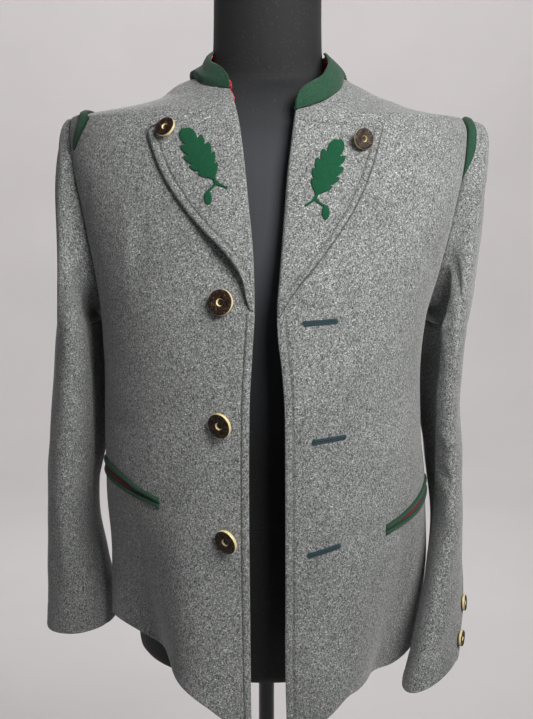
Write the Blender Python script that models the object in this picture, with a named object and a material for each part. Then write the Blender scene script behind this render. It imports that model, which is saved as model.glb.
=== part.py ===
"""Tyrolean loden jacket, worn open on a limbless dress form with a pole and a round base.

Metres, +Z up, the floor at z = 0, the jacket's front towards -Y. Side -1 is the wearer's right,
which is at -X, and side +1 is the wearer's left.

The jacket's outer face is one skin: level rings that run from the hem over the shoulders to the
neck seam. An angle of 0 is the centre front, 90 the side seam and the shoulder ridge, and 180 the
centre back. Every panel is a stretch of that skin with its own wall, and whatever lies on a panel
is made from the panel's points, moved out.
"""

import math

import bmesh
import bpy
import numpy as np
from mathutils import Matrix, Vector

RIGHT, LEFT = -1, 1
SIDE_NAMES = {RIGHT: "right", LEFT: "left"}
WIDTH_COLUMN = {RIGHT: "right_width", LEFT: "left_width"}

# ---- Driving sizes ----------------------------------------------------------------------------
CLOTH = 0.0026          # loden with its lining
SEAM_GAP = 0.0004       # between pieces that are sewn together
SEAM_ANGLE = 0.16       # degrees left free on each side of the side and shoulder seams

HEM_COLUMNS = ("angle", "height")
HEM = {
    RIGHT: (
        (0.0, 0.814), (10.0, 0.828), (20.0, 0.852), (30.0, 0.866), (45.0, 0.873), (60.0, 0.877),
        (80.0, 0.889), (95.0, 0.886), (120.0, 0.878), (150.0, 0.874), (180.0, 0.872),
    ),
    LEFT: (
        (0.0, 0.808), (10.0, 0.818), (20.0, 0.836), (30.0, 0.854), (45.0, 0.852), (60.0, 0.848),
        (75.0, 0.860), (95.0, 0.862), (120.0, 0.868), (150.0, 0.872), (180.0, 0.872),
    ),
}
HEM_LEVEL = 0.868       # where a panel's lowest row lies before the hem is drawn
HEM_BLEND = 0.22        # height over which the hem's shape fades out of the rows above
UNDERARM = 1.245
SHOULDER_TIP = 1.4575
NECK_SIDE = 1.500
ARMHOLE_ANGLE = {"front": 18.5, "back": 16.0}   # how far the armhole bites into each panel

# The jacket's skin: level rings from the hem to the neck seam.
RING_COLUMNS = (
    "height", "right_width", "left_width", "front_depth", "back_depth", "centre_y", "squareness",
)
JACKET_RINGS = (
    (0.820, 0.176, 0.170, 0.166, 0.122, 0.008, 2.00),
    (0.900, 0.180, 0.180, 0.162, 0.120, 0.008, 2.05),
    (0.970, 0.181, 0.186, 0.160, 0.117, 0.008, 2.10),
    (1.050, 0.186, 0.184, 0.158, 0.115, 0.008, 2.15),
    (1.120, 0.185, 0.177, 0.157, 0.117, 0.008, 2.20),
    (1.180, 0.184, 0.175, 0.155, 0.122, 0.008, 2.20),
    (1.240, 0.186, 0.179, 0.152, 0.127, 0.009, 2.25),
    (1.290, 0.193, 0.193, 0.143, 0.128, 0.010, 2.35),
    (1.350, 0.206, 0.210, 0.128, 0.122, 0.012, 2.45),
    (1.410, 0.215, 0.221, 0.114, 0.110, 0.014, 2.50),
    (1.440, 0.216, 0.222, 0.104, 0.099, 0.015, 2.40),
    (1.4575, 0.2140, 0.2165, 0.0965, 0.0915, 0.015, 2.15),
    (1.4620, 0.2010, 0.1870, 0.0935, 0.0890, 0.015, 2.08),
    (1.4660, 0.1790, 0.1680, 0.0905, 0.0873, 0.015, 2.05),
    (1.4700, 0.1550, 0.1535, 0.0875, 0.0853, 0.015, 2.00),
    (1.4750, 0.1325, 0.1415, 0.0842, 0.0822, 0.015, 2.00),
    (1.4810, 0.1155, 0.1235, 0.0785, 0.0792, 0.015, 2.00),
    (1.4880, 0.1070, 0.1100, 0.0708, 0.0760, 0.015, 2.00),
    (1.4940, 0.0985, 0.0985, 0.0645, 0.0735, 0.015, 2.00),
    (1.5000, 0.0830, 0.0875, 0.0580, 0.0700, 0.015, 2.00),
)
FORM_RINGS = (
    (0.840, 0.154, 0.154, 0.113, 0.098, 0.018, 2.00),
    (0.900, 0.157, 0.159, 0.116, 0.103, 0.014, 2.00),
    (0.990, 0.155, 0.155, 0.112, 0.094, 0.010, 2.10),
    (1.080, 0.148, 0.148, 0.106, 0.090, 0.008, 2.15),
    (1.180, 0.155, 0.155, 0.114, 0.099, 0.008, 2.20),
    (1.280, 0.168, 0.168, 0.122, 0.107, 0.010, 2.30),
    (1.350, 0.180, 0.182, 0.114, 0.106, 0.012, 2.35),
    (1.410, 0.189, 0.192, 0.100, 0.095, 0.014, 2.35),
    (1.440, 0.190, 0.193, 0.090, 0.084, 0.015, 2.20),
    (1.4520, 0.1890, 0.1900, 0.0830, 0.0780, 0.015, 2.00),
    (1.4603, 0.1820, 0.1770, 0.0805, 0.0758, 0.015, 2.00),
    (1.4642, 0.1690, 0.1600, 0.0788, 0.0745, 0.015, 2.00),
    (1.4681, 0.1490, 0.1460, 0.0768, 0.0733, 0.015, 2.00),
    (1.4731, 0.1280, 0.1340, 0.0735, 0.0710, 0.014, 2.00),
    (1.4793, 0.1090, 0.1160, 0.0690, 0.0680, 0.013, 2.00),
    (1.4858, 0.0980, 0.1020, 0.0628, 0.0642, 0.012, 2.00),
    (1.4960, 0.0710, 0.0750, 0.0510, 0.0560, 0.011, 2.00),
    (1.5120, 0.0610, 0.0625, 0.0490, 0.0500, 0.008, 2.00),
    (1.5350, 0.0580, 0.0600, 0.0485, 0.0485, 0.006, 2.00),
    (1.6000, 0.0565, 0.0590, 0.0485, 0.0485, 0.004, 2.00),
)

# Where each front ends towards the middle: the front edge, then from the collar's end the neck seam.
EDGE_COLUMNS = ("height", "from_middle")
FRONT_EDGE = {
    RIGHT: (
        (0.830, 0.0155), (0.940, 0.0170), (1.076, 0.0177), (1.163, 0.0170), (1.216, 0.0143),
        (1.269, 0.0115), (1.306, 0.0122), (1.368, 0.0176), (1.438, 0.0255), (1.470, 0.0325),
        (1.484, 0.0386), (1.4862, 0.0515), (1.4905, 0.0665), (1.500, 0.0770),
    ),
    LEFT: (
        (0.825, 0.0250), (0.943, 0.0203), (1.036, 0.0192), (1.155, 0.0182), (1.205, 0.0150),
        (1.235, 0.0112), (1.263, 0.0100), (1.293, 0.0122), (1.340, 0.0160), (1.396, 0.0205),
        (1.434, 0.0252), (1.460, 0.0295), (1.4650, 0.0445), (1.4740, 0.0640), (1.487, 0.0780),
        (1.500, 0.0825),
    ),
}
COLLAR_END = {RIGHT: 1.484, LEFT: 1.460}    # height at which the front edge turns into the neck seam

# Hanging folds: a push out (+) or in (-) at the hem that fades away at the top.
FOLD_COLUMNS = ("side", "angle", "half_angle", "push", "top", "fade")
FOLDS = (
    (RIGHT, 55.0, 30.0, -0.036, 1.075, 1.3),    # the deep hollow under the pocket
    (RIGHT, 22.0, 20.0, 0.011, 1.090, 1.4),     # the front falls free of the hollow
    (RIGHT, 84.0, 17.0, 0.004, 1.060, 1.2),
    (LEFT, 53.0, 22.0, -0.019, 1.060, 1.3),
    (LEFT, 21.0, 19.0, 0.009, 1.080, 1.4),
    (LEFT, 86.0, 17.0, 0.005, 1.080, 1.2),
    (RIGHT, 122.0, 15.0, 0.009, 1.080, 1.3),
    (RIGHT, 150.0, 14.0, -0.004, 1.040, 1.3),
    (LEFT, 124.0, 15.0, 0.009, 1.080, 1.3),
    (LEFT, 152.0, 14.0, -0.004, 1.040, 1.3),
)

# Sleeves hang beside the body: level rings from the underarm to the cuff.
SLEEVE_COLUMNS = ("height", "centre_x", "centre_y", "half_width", "half_depth", "twist")
SLEEVE_RINGS = {
    RIGHT: (
        (1.235, 0.2116, 0.014, 0.0231, 0.079, 0.0),
        (1.150, 0.2167, 0.016, 0.0292, 0.075, 0.0),
        (1.080, 0.2236, 0.019, 0.0312, 0.070, 0.0),
        (1.035, 0.2297, 0.022, 0.0282, 0.066, 0.0),
        (0.995, 0.2313, 0.025, 0.0290, 0.062, 0.0),
        (0.940, 0.2296, 0.030, 0.0356, 0.057, 0.0),
        (0.900, 0.2273, 0.033, 0.0403, 0.054, 0.0),
        (0.861, 0.2279, 0.036, 0.0425, 0.051, 0.0),
    ),
    LEFT: (
        (1.235, 0.2035, 0.014, 0.0215, 0.079, 0.0),
        (1.150, 0.2000, 0.016, 0.0215, 0.077, 0.0),
        (1.080, 0.2065, 0.010, 0.0200, 0.073, 2.0),
        (1.020, 0.2090, -0.010, 0.0185, 0.067, 6.0),
        (0.960, 0.2035, -0.040, 0.0200, 0.060, 16.0),
        (0.900, 0.1945, -0.064, 0.0235, 0.055, 26.0),
        (0.855, 0.1850, -0.079, 0.0265, 0.052, 32.0),
    ),
}
# How far out the sleeve head stands at its outermost line, from the shoulder tip down.
HEAD_COLUMNS = ("height", "outermost")
SLEEVE_HEAD = {
    RIGHT: ((1.235, 0.2350), (1.275, 0.2335), (1.330, 0.2327), (1.387, 0.2340), (1.414, 0.2322),
            (1.4415, 0.2272), (1.4510, 0.2240), (1.4575, 0.2185)),
    LEFT: ((1.235, 0.2262), (1.275, 0.2330), (1.330, 0.2390), (1.387, 0.2432), (1.414, 0.2455),
           (1.4415, 0.2455), (1.4510, 0.2405), (1.4575, 0.2240)),
}
SLEEVE_HEAD_SQUARENESS = 3.0    # how sharply the sleeve head turns down from the shoulder
HEAD_EASE = 0.006       # the sleeve head stands away from the panels before it turns down
CUFF_RISE = {RIGHT: -0.10, LEFT: 0.32}      # slope of the cuff's edge, up towards its outer side

COLLAR_HEIGHT = {"back": 0.034, "side": 0.0255, "front": 0.0220}
COLLAR_LEAN = {"back": 0.010, "side": 0.0185, "front": -0.0010}
COLLAR_CLOTH = 0.0028
COLLAR_LINING_CLOTH = 0.0012
COLLAR_LINING_GAP = 0.0012      # between the two felts, so that they stay clear where they bend most
COLLAR_LINING_PROUD = 0.0026    # the red lining shows past the green collar's front end

LAPEL_CLOTH = 0.0030
LAPEL_LIFT = 0.0039
LAPEL_FOOT = {RIGHT: 1.262, LEFT: 1.256}    # where the lapel rolls out of the front edge
OUTLINE_COLUMNS = ("height", "from_middle")
LAPEL_OUTER = {
    RIGHT: (
        (1.262, 0.0165), (1.275, 0.0205), (1.290, 0.0240), (1.306, 0.0330), (1.322, 0.0465),
        (1.342, 0.0660), (1.366, 0.0860), (1.396, 0.1050), (1.424, 0.1165), (1.440, 0.1215),
    ),
    LEFT: (
        (1.256, 0.0140), (1.270, 0.0215), (1.286, 0.0330), (1.306, 0.0500), (1.334, 0.0710),
        (1.362, 0.0885), (1.392, 0.1025), (1.420, 0.1120), (1.440, 0.1175), (1.446, 0.1190),
    ),
}
LAPEL_TOP_INNER = {RIGHT: (0.0345, 1.4745), LEFT: (0.0290, 1.4555)}  # (from middle, height) at the collar
# Where a lapel's outer edge stands off the front: (from middle, height, reach, extra lift).
LAPEL_ROLL = {RIGHT: (0.043, 1.312, 0.034, 0.0085), LEFT: (0.045, 1.300, 0.030, 0.0030)}

TRIM_INBOARD = {RIGHT: 0.0210, LEFT: 0.0140}
TRIM_OUTBOARD = 0.0030
TRIM_CLOTH = 0.0016
TRIM_REACH = {RIGHT: 51.0, LEFT: 61.0}   # degrees of the armhole's oval on each side of the shoulder tip

POCKET_ANGLES = {RIGHT: (35.2, 80.0), LEFT: (42.0, 82.0)}   # inner end, end near the side seam
POCKET_HEIGHTS = {RIGHT: (1.059, 1.078), LEFT: (1.026, 1.050)}
POCKET_HALF_HEIGHT = 0.0088
POCKET_SLOT = 0.0022
POCKET_CLOTH = 0.0018

HOLE_PLACES = ((0.0535, 1.2505), (0.0630, 1.1320), (0.0585, 1.0160))    # (from middle, height)
HOLE_SLOPES = (-3.0, -6.0, -14.0)                                        # degrees
HOLE_LENGTH = 0.034
HOLE_HALF_HEIGHT = 0.0027
HOLE_SLIT = 0.0006
HOLE_CLOTH = 0.0009

BUTTON_RADIUS = 0.0130
LAPEL_BUTTON_RADIUS = 0.0105
CUFF_BUTTON_RADIUS = 0.0090
# The front buttons, on the wearer's right. The face turns to the wearer's right and nods down, in
# degrees, and stands off the cloth on its shank.
FRONT_BUTTON_COLUMNS = ("from_middle", "height", "turn", "nod", "stand")
FRONT_BUTTONS = (
    (0.0430, 1.2700, 12.0, 0.0, 0.0032),
    (0.0427, 1.1508, 20.0, 8.0, 0.0054),
    (0.0365, 1.0325, 26.0, 12.0, 0.0072),
)
FRONT_SHANK = 0.20      # a shank's radius, as a share of its button's
LAPEL_BUTTONS = {RIGHT: (0.0985, 1.4420), LEFT: (0.0955, 1.4280)}
CUFF_BUTTON_LIFT = {RIGHT: 0.0, LEFT: -0.0002}
CUFF_BUTTONS = {RIGHT: (0.60, (0.925, 0.893)), LEFT: (0.52, (0.920, 0.880))}    # share round, heights

LEAF_LENGTH = 0.0590
LEAF_CLOTH = 0.0011
LEAF_EDGE_COLUMNS = ("across", "up")    # in leaf lengths, one side of the leaf from its foot to its tip
LEAF_EDGE = (
    (0.030, 0.00), (0.075, 0.06), (0.165, 0.13), (0.185, 0.19), (0.130, 0.21), (0.150, 0.27),
    (0.245, 0.38), (0.255, 0.44), (0.170, 0.44), (0.180, 0.51), (0.240, 0.62), (0.235, 0.68),
    (0.150, 0.66), (0.145, 0.73), (0.165, 0.83), (0.145, 0.87), (0.085, 0.84), (0.070, 0.93), (0.0, 1.00),
)
ACORN = (0.0145, -0.0110, 0.0032, 0.0062, math.radians(-24))   # across, up, half width, half length, lean
LEAF_BASE = {RIGHT: (0.0520, 1.3870), LEFT: (0.0485, 1.3700)}    # (from middle, height) of the stalk's joint
LEAF_LEAN = {RIGHT: 32.0, LEFT: 23.0}   # degrees that the tip leans away from the middle

POLE_RADIUS = 0.0095
BASE_RADIUS = 0.170
BASE_HEIGHT = 0.012
BOSS_RADIUS = 0.026
BOSS_HEIGHT = 0.050
FORM_GAP = 0.0003
POLE_Y = 0.018

PLAN_MIDDLE = (-0.0122479, 0.0107875)    # the middle of everything in plan, which goes to the origin
ARMHOLE_ROWS = 10       # a panel and the sleeve share these along the armhole

COLOURS = {     # name: (colour, roughness, metallic)
    "grey loden": ((0.145, 0.150, 0.152), 0.95, 0.0),
    "green felt": ((0.020, 0.085, 0.050), 0.95, 0.0),
    "leaf felt": ((0.008, 0.110, 0.050), 0.90, 0.0),
    "red felt": ((0.560, 0.015, 0.020), 0.90, 0.0),
    "teal thread": ((0.020, 0.070, 0.080), 0.80, 0.0),
    "horn": ((0.060, 0.028, 0.015), 0.35, 0.0),
    "black jersey": ((0.009, 0.010, 0.012), 0.90, 0.0),
    "black steel": ((0.012, 0.012, 0.013), 0.40, 0.6),
}


# ---- Tables and curves -------------------------------------------------------------------------
def smooth_read(table, column, at):
    """A table's column at the given heights, by a monotone cubic through its rows."""
    rows = np.array(table, float)
    x, y = rows[:, 0], rows[:, column]
    step = np.diff(x)
    slope = np.diff(y) / step
    inner = np.where(
        slope[:-1] * slope[1:] > 0,
        2 * slope[:-1] * slope[1:] / np.where(slope[:-1] + slope[1:] == 0, 1, slope[:-1] + slope[1:]),
        0.0,
    )
    tangent = np.concatenate([[slope[0]], inner, [slope[-1]]])
    at = np.clip(np.asarray(at, float), x[0], x[-1])
    i = np.clip(np.searchsorted(x, at) - 1, 0, len(step) - 1)
    t = (at - x[i]) / step[i]
    h = step[i]
    return (
        (2 * t**3 - 3 * t**2 + 1) * y[i]
        + (t**3 - 2 * t**2 + t) * h * tangent[i]
        + (-2 * t**3 + 3 * t**2) * y[i + 1]
        + (t**3 - t**2) * h * tangent[i + 1]
    )


def ease(t):
    t = np.clip(t, 0.0, 1.0)
    return t * t * (3 - 2 * t)


def resample(points, count):
    """The same line with its points evenly spaced."""
    points = np.asarray(points, float)
    along = np.concatenate([[0], np.cumsum(np.linalg.norm(np.diff(points, axis=0), axis=1))])
    at = np.linspace(0, along[-1], count)
    return np.stack([np.interp(at, along, points[:, k]) for k in range(points.shape[1])], axis=1)


# ---- The jacket's skin -------------------------------------------------------------------------
def ring_point(rings, side, angle, height):
    """A point on a family of level rings, with the plan direction that points outwards there."""
    half_width = smooth_read(rings, RING_COLUMNS.index(WIDTH_COLUMN[side]), height)
    front, back, centre, square = (
        smooth_read(rings, RING_COLUMNS.index(name), height) for name in RING_COLUMNS[3:]
    )
    turn = np.radians(angle)
    sine, cosine = np.abs(np.sin(turn)), np.cos(turn)
    x = side * half_width * sine ** (2 / square)
    depth = np.where(cosine > 0, front, back) * np.abs(cosine) ** (2 / square)
    y = centre - np.sign(cosine) * depth
    outwards = np.stack([side * np.sin(turn), -cosine, 0 * cosine], axis=-1)
    return np.stack(np.broadcast_arrays(x, y, height), axis=-1), outwards


def fold_push(side, angle, height):
    push = 0.0
    for fold_side, centre, half, depth, top, fade in FOLDS:
        if fold_side == side:
            across = 0.5 + 0.5 * np.cos(np.pi * np.clip((angle - centre) / half, -1, 1))
            push = push + depth * across * np.clip((top - height) / (top - HEM_LEVEL), 0, 1.15) ** fade
    return push


def skin(side, angle, height):
    """The jacket's outer face, folds included."""
    angle, height = np.broadcast_arrays(np.asarray(angle, float), np.asarray(height, float))
    point, outwards = ring_point(JACKET_RINGS, side, angle, height)
    return point + outwards * fold_push(side, angle, height)[..., None]


def skin_normal(side, angle, height):
    reach = 0.25, 0.0015
    across = skin(side, angle + reach[0], height) - skin(side, angle - reach[0], height)
    up = skin(side, angle, height + reach[1]) - skin(side, angle, height - reach[1])
    normal = side * np.cross(across, up)
    return normal / np.linalg.norm(normal, axis=-1, keepdims=True)


def lifted(side, angle, height, lift):
    """A point on the skin, moved out by lift."""
    return skin(side, angle, height) + skin_normal(side, angle, height) * np.asarray(lift)[..., None]


def angle_at(side, from_middle, height):
    """The skin's angle at a distance from the middle, seen from the front."""
    half_width = smooth_read(JACKET_RINGS, RING_COLUMNS.index(WIDTH_COLUMN[side]), height)
    square = smooth_read(JACKET_RINGS, RING_COLUMNS.index("squareness"), height)
    share = np.clip(np.asarray(from_middle) / half_width, 0, 1)
    return np.degrees(np.arcsin(share ** (square / 2)))


def on_front(side, from_middle, height, lift):
    """A point over the front, placed as it is seen from the front."""
    return lifted(side, angle_at(side, from_middle, height), height, lift)


def armhole_angle(part, height):
    """The angle at which a panel ends at a height: the seam at 90 degrees, or the armhole's oval."""
    middle, half = (UNDERARM + SHOULDER_TIP) / 2, (SHOULDER_TIP - UNDERARM) / 2
    bite = ARMHOLE_ANGLE[part] * np.sqrt(np.clip(1 - ((height - middle) / half) ** 2, 0, 1))
    return bite + SEAM_ANGLE


def panel_heights(below, armhole, above):
    """Row heights of a panel, closer together where the armhole turns."""
    turn = np.linspace(0, np.pi, armhole + 1)
    in_armhole = UNDERARM + (SHOULDER_TIP - UNDERARM) * (1 - np.cos(turn)) / 2
    return np.concatenate([
        np.linspace(HEM_LEVEL, UNDERARM, below + 1)[:-1],
        in_armhole,
        SHOULDER_TIP + (NECK_SIDE - SHOULDER_TIP) * np.linspace(0, 1, above + 1)[1:] ** 1.35,
    ])


def hem_shift(side, angle, height):
    """How far a row moves so that the lowest one lies along the hem."""
    return (smooth_read(HEM[side], 1, angle) - HEM_LEVEL) * (1 - ease((height - HEM_LEVEL) / HEM_BLEND))


# ---- Meshes ------------------------------------------------------------------------------------
def material(name):
    found = bpy.data.materials.get(name)
    if found:
        return found
    colour, roughness, metallic = COLOURS[name]
    made = bpy.data.materials.new(name)
    made.use_nodes = True
    shader = made.node_tree.nodes["Principled BSDF"]
    shader.inputs["Base Color"].default_value = (*colour, 1)
    shader.inputs["Roughness"].default_value = roughness
    shader.inputs["Metallic"].default_value = metallic
    made.diffuse_color = (*colour, 1)
    return made


def solid(name, points, faces, finish):
    """One named object from points and faces, with its faces turned outwards."""
    mesh = bpy.data.meshes.new(name)
    mesh.from_pydata([tuple(map(float, p)) for p in points], [], faces)
    work = bmesh.new()
    work.from_mesh(mesh)
    bmesh.ops.recalc_face_normals(work, faces=work.faces)
    work.to_mesh(mesh)
    work.free()
    mesh.shade_smooth()
    mesh.set_sharp_from_angle(angle=math.radians(40))
    mesh.materials.append(material(finish))
    made = bpy.data.objects.new(name, mesh)
    bpy.context.scene.collection.objects.link(made)
    return made


def wall(name, outer, inner, finish, round_=False):
    """A sheet between two grids of points. With round_, the columns close into a tube."""
    rows, columns = outer.shape[:2]
    points = np.concatenate([outer.reshape(-1, 3), inner.reshape(-1, 3)])
    under = rows * columns

    def at(row, column):
        return row * columns + column % columns

    faces = []
    for row in range(rows - 1):
        for column in range(columns if round_ else columns - 1):
            quad = [at(row, column), at(row, column + 1), at(row + 1, column + 1), at(row + 1, column)]
            faces.append(quad)
            faces.append([under + corner for corner in reversed(quad)])
    rim = [(at(0, c), at(0, c + 1)) for c in range(columns if round_ else columns - 1)]
    rim += [(at(rows - 1, c + 1), at(rows - 1, c)) for c in range(columns if round_ else columns - 1)]
    if not round_:
        rim += [(at(r + 1, 0), at(r, 0)) for r in range(rows - 1)]
        rim += [(at(r, columns - 1), at(r + 1, columns - 1)) for r in range(rows - 1)]
    faces += [[b, a, a + under, b + under] for a, b in rim]
    return solid(name, points, faces, finish)


def plate(name, outline, top, bottom, finish):
    """A plate that lies on a curved panel: outline holds flat (across, up) points in order,
    and top and bottom place such points in space."""
    count = len(outline)
    points = [top(*p) for p in outline] + [bottom(*p) for p in outline]
    flat = bmesh.new()
    corners = [flat.verts.new((a, b, 0)) for a, b in outline]
    face = flat.faces.new(corners)
    face.normal_update()
    tiles = bmesh.ops.triangulate(flat, faces=[face])["faces"]
    flat.verts.index_update()
    faces = [[v.index for v in tile.verts] for tile in tiles]
    flat.free()
    faces += [[count + i for i in reversed(tile)] for tile in faces]
    faces += [[(i + 1) % count, i, count + i, count + (i + 1) % count] for i in range(count)]
    return solid(name, points, faces, finish)


def frame(name, outside, inside, place, low, high, finish):
    """A flat ring between two loops of as many points, such as a welt round its slot."""
    count = len(outside)
    loops = [[place(*p, lift) for p in loop] for lift in (high, low) for loop in (outside, inside)]
    points = [p for loop in loops for p in loop]
    top_out, top_in, low_out, low_in = (count * k for k in range(4))
    faces = []
    for i in range(count):
        j = (i + 1) % count
        faces += [
            [top_out + i, top_out + j, top_in + j, top_in + i],
            [low_out + j, low_out + i, low_in + i, low_in + j],
            [top_out + j, top_out + i, low_out + i, low_out + j],
            [top_in + i, top_in + j, low_in + j, low_in + i],
        ]
    return solid(name, points, faces, finish)


def turned(name, profile, place, finish, steps):
    """A turned solid. profile runs from the axis, below, out and back to the axis, above."""
    points, rings = [], []
    for radius, height in profile:
        if radius == 0:
            rings.append([len(points)])
            points.append((0, 0, height))
            continue
        rings.append(list(range(len(points), len(points) + steps)))
        turns = np.linspace(0, 2 * math.pi, steps, endpoint=False)
        points += [(radius * math.cos(a), radius * math.sin(a), height) for a in turns]
    faces = []
    for low, high in zip(rings, rings[1:]):
        for i in range(steps):
            j = (i + 1) % steps
            corners = [low[i % len(low)], low[j % len(low)], high[j % len(high)], high[i % len(high)]]
            faces.append(list(dict.fromkeys(corners)))
    made = solid(name, points, faces, finish)
    made.matrix_world = place
    return made


def facing(point, normal):
    """A placement with its origin at the point and its z axis along the normal."""
    return Matrix.Translation(Vector(point)) @ Vector(normal).to_track_quat("Z", "Y").to_matrix().to_4x4()


# ---- Fronts and back ---------------------------------------------------------------------------
def front_inner_angle(side, height):
    return angle_at(side, smooth_read(FRONT_EDGE[side], 1, height), height)


def make_front(side):
    columns = 12
    rows = panel_heights(below=9, armhole=ARMHOLE_ROWS, above=7)
    share = np.linspace(0, 1, columns + 1) ** 0.92
    start, end = front_inner_angle(side, rows), 90 - armhole_angle("front", rows)
    start[-1] = min(start[-1], end[-1] - 12)
    angles = start[:, None] + (end - start)[:, None] * share
    heights = rows[:, None] + hem_shift(side, angles, rows[:, None])
    outer = skin(side, angles, heights)
    inner = lifted(side, angles, heights, np.full(angles.shape, -CLOTH))
    wall("front_" + SIDE_NAMES[side], outer, inner, "grey loden")


def make_back():
    columns = 20
    rows = panel_heights(below=8, armhole=ARMHOLE_ROWS, above=7)
    reach = 180 - 90 - armhole_angle("back", rows)
    across = np.linspace(-1, 1, columns + 1)
    turn = 180 - np.abs(across)[None, :] * reach[:, None]
    outer, inner = np.empty((*turn.shape, 3)), np.empty((*turn.shape, 3))
    for side, half in ((RIGHT, across <= 0), (LEFT, across > 0)):
        heights = rows[:, None] + hem_shift(side, turn, rows[:, None])
        outer[:, half] = skin(side, turn, heights)[:, half]
        inner[:, half] = lifted(side, turn, heights, np.full(turn.shape, -CLOTH))[:, half]
    wall("back", outer, inner, "grey loden")


# ---- Sleeves -----------------------------------------------------------------------------------
def armhole_ring(side, share):
    """The armhole's edge: 0 is the underarm, then up the front, over the tip and down the back."""
    turn = 2 * np.pi * np.asarray(share, float)
    height = (UNDERARM + SHOULDER_TIP) / 2 - (SHOULDER_TIP - UNDERARM) / 2 * np.cos(turn)
    bite = np.where(np.sin(turn) > 0, ARMHOLE_ANGLE["front"], -ARMHOLE_ANGLE["back"])
    return skin(side, 90 - bite * np.abs(np.sin(turn)), height)


def sleeve_ring(side, share, height):
    """A level ring of the hanging sleeve, from the side next to the body round by the front."""
    centre_x, centre_y, half_width, half_depth, twist = (
        smooth_read(SLEEVE_RINGS[side][::-1], SLEEVE_COLUMNS.index(n), height)
        for n in SLEEVE_COLUMNS[1:]
    )
    turn = 2 * np.pi * np.asarray(share, float)
    across, along = -half_width * np.cos(turn), -half_depth * np.sin(turn)
    spin = np.radians(twist)
    x = across * np.cos(spin) + along * np.sin(spin)
    y = along * np.cos(spin) - across * np.sin(spin)
    return np.stack(np.broadcast_arrays(side * (centre_x + x), centre_y + y, height), axis=-1)


def sleeve_head(side, share, step):
    """The sleeve head: step 0 is the armhole's edge and 1 the first hanging ring."""
    share = np.asarray(share, float)
    start = armhole_ring(side, share) + [side * (SEAM_GAP + 0.0006), 0, 0]
    target = sleeve_ring(side, share, SLEEVE_RINGS[side][0][0])

    def turned_down(start, target):
        fall = 1 - np.cos(step * np.pi / 2)
        out = (1 - (1 - fall) ** SLEEVE_HEAD_SQUARENESS) ** (1 / SLEEVE_HEAD_SQUARENESS)
        return start + (target - start) * [out, fall**0.6, fall]

    outermost = turned_down(armhole_ring(side, 0.5), sleeve_ring(side, 0.5, SLEEVE_RINGS[side][0][0]))
    wanted = smooth_read(SLEEVE_HEAD[side], 1, outermost[2])
    weight = (0.5 - 0.5 * np.cos(2 * np.pi * share)) ** 2 * min(1.0, step * 8)
    level = turned_down(start, target)
    swell = HEAD_EASE * np.sin(np.pi * step) * (1 - weight)
    level[:, 0] += side * (weight * (wanted - abs(outermost[0])) + swell)
    return level


def sleeve_point(side, share, height):
    """A point on the hanging part of the sleeve, with the cuff's slope."""
    ring = sleeve_ring(side, share, height)
    cuff, centre = SLEEVE_RINGS[side][-1][:2]
    outwards = (np.abs(ring[..., 0]) - centre) * CUFF_RISE[side]
    ring[..., 2] += outwards * ease((cuff + 0.08 - height) / 0.08)
    return ring


def sleeve_grid(side, around, head_rows, arm_rows):
    """Rows of points on the sleeve's outer face, from the armhole to the cuff."""
    share = np.arange(around) / around
    rows = [sleeve_head(side, share, step) for step in np.linspace(0, 1, head_rows, endpoint=False)]
    rows += [
        sleeve_point(side, share, height)
        for height in np.linspace(SLEEVE_RINGS[side][0][0], SLEEVE_RINGS[side][-1][0], arm_rows)
    ]
    return np.array(rows)


def tube_normals(side, grid):
    across = np.roll(grid, -1, axis=1) - np.roll(grid, 1, axis=1)
    down = np.gradient(grid, axis=0)
    normal = side * np.cross(down, across)
    return normal / np.linalg.norm(normal, axis=-1, keepdims=True)


def make_sleeve(side):
    outer = sleeve_grid(side, around=2 * ARMHOLE_ROWS, head_rows=8, arm_rows=9)
    inner = outer - tube_normals(side, outer) * CLOTH
    wall("sleeve_" + SIDE_NAMES[side], outer, inner, "grey loden", round_=True)


# ---- Collar ------------------------------------------------------------------------------------
def neck_seam(side, count):
    """The neck seam from the centre back to the collar's front end."""
    behind = skin(side, np.linspace(180, front_inner_angle(side, NECK_SIDE), 40), NECK_SIDE)
    heights = np.linspace(NECK_SIDE, COLLAR_END[side], 20)[1:]
    before = skin(side, front_inner_angle(side, heights), heights)
    return resample(np.concatenate([behind, before]), count)


def collar_grid(side, count, rows, inset, proud=0.0):
    """The stand collar's half, from the centre back. inset moves it towards the neck."""
    seam = neck_seam(side, count)
    along = np.gradient(seam, axis=0)
    along /= np.linalg.norm(along, axis=1, keepdims=True)
    inwards = side * np.cross(along, [0, 0, 1])
    inwards[:, 2] = 0
    inwards /= np.linalg.norm(inwards, axis=1, keepdims=True)
    share = np.linspace(0, 1, count)
    height, tilt = (
        np.interp(share, (0, 0.5, 1), [sizes[k] for k in ("back", "side", "front")])
        for sizes in (COLLAR_HEIGHT, COLLAR_LEAN)
    )
    forward = along * np.where(share == 1, proud, 0.0)[:, None]
    rise = np.linspace(0, 1, rows)[:, None, None]
    lean = tilt[:, None] * rise**1.6 - 0.0022 * np.sin(np.pi * rise)
    up = np.array([0, 0, 1.0])
    grid = seam + forward + up * SEAM_GAP * 3.7 + up * height[:, None] * rise + inwards * (lean + inset)
    corner = ease((share - 0.90) / 0.10)[None, :, None] * rise**3
    return grid - up * corner * 0.004 - along * corner * 0.003


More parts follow.
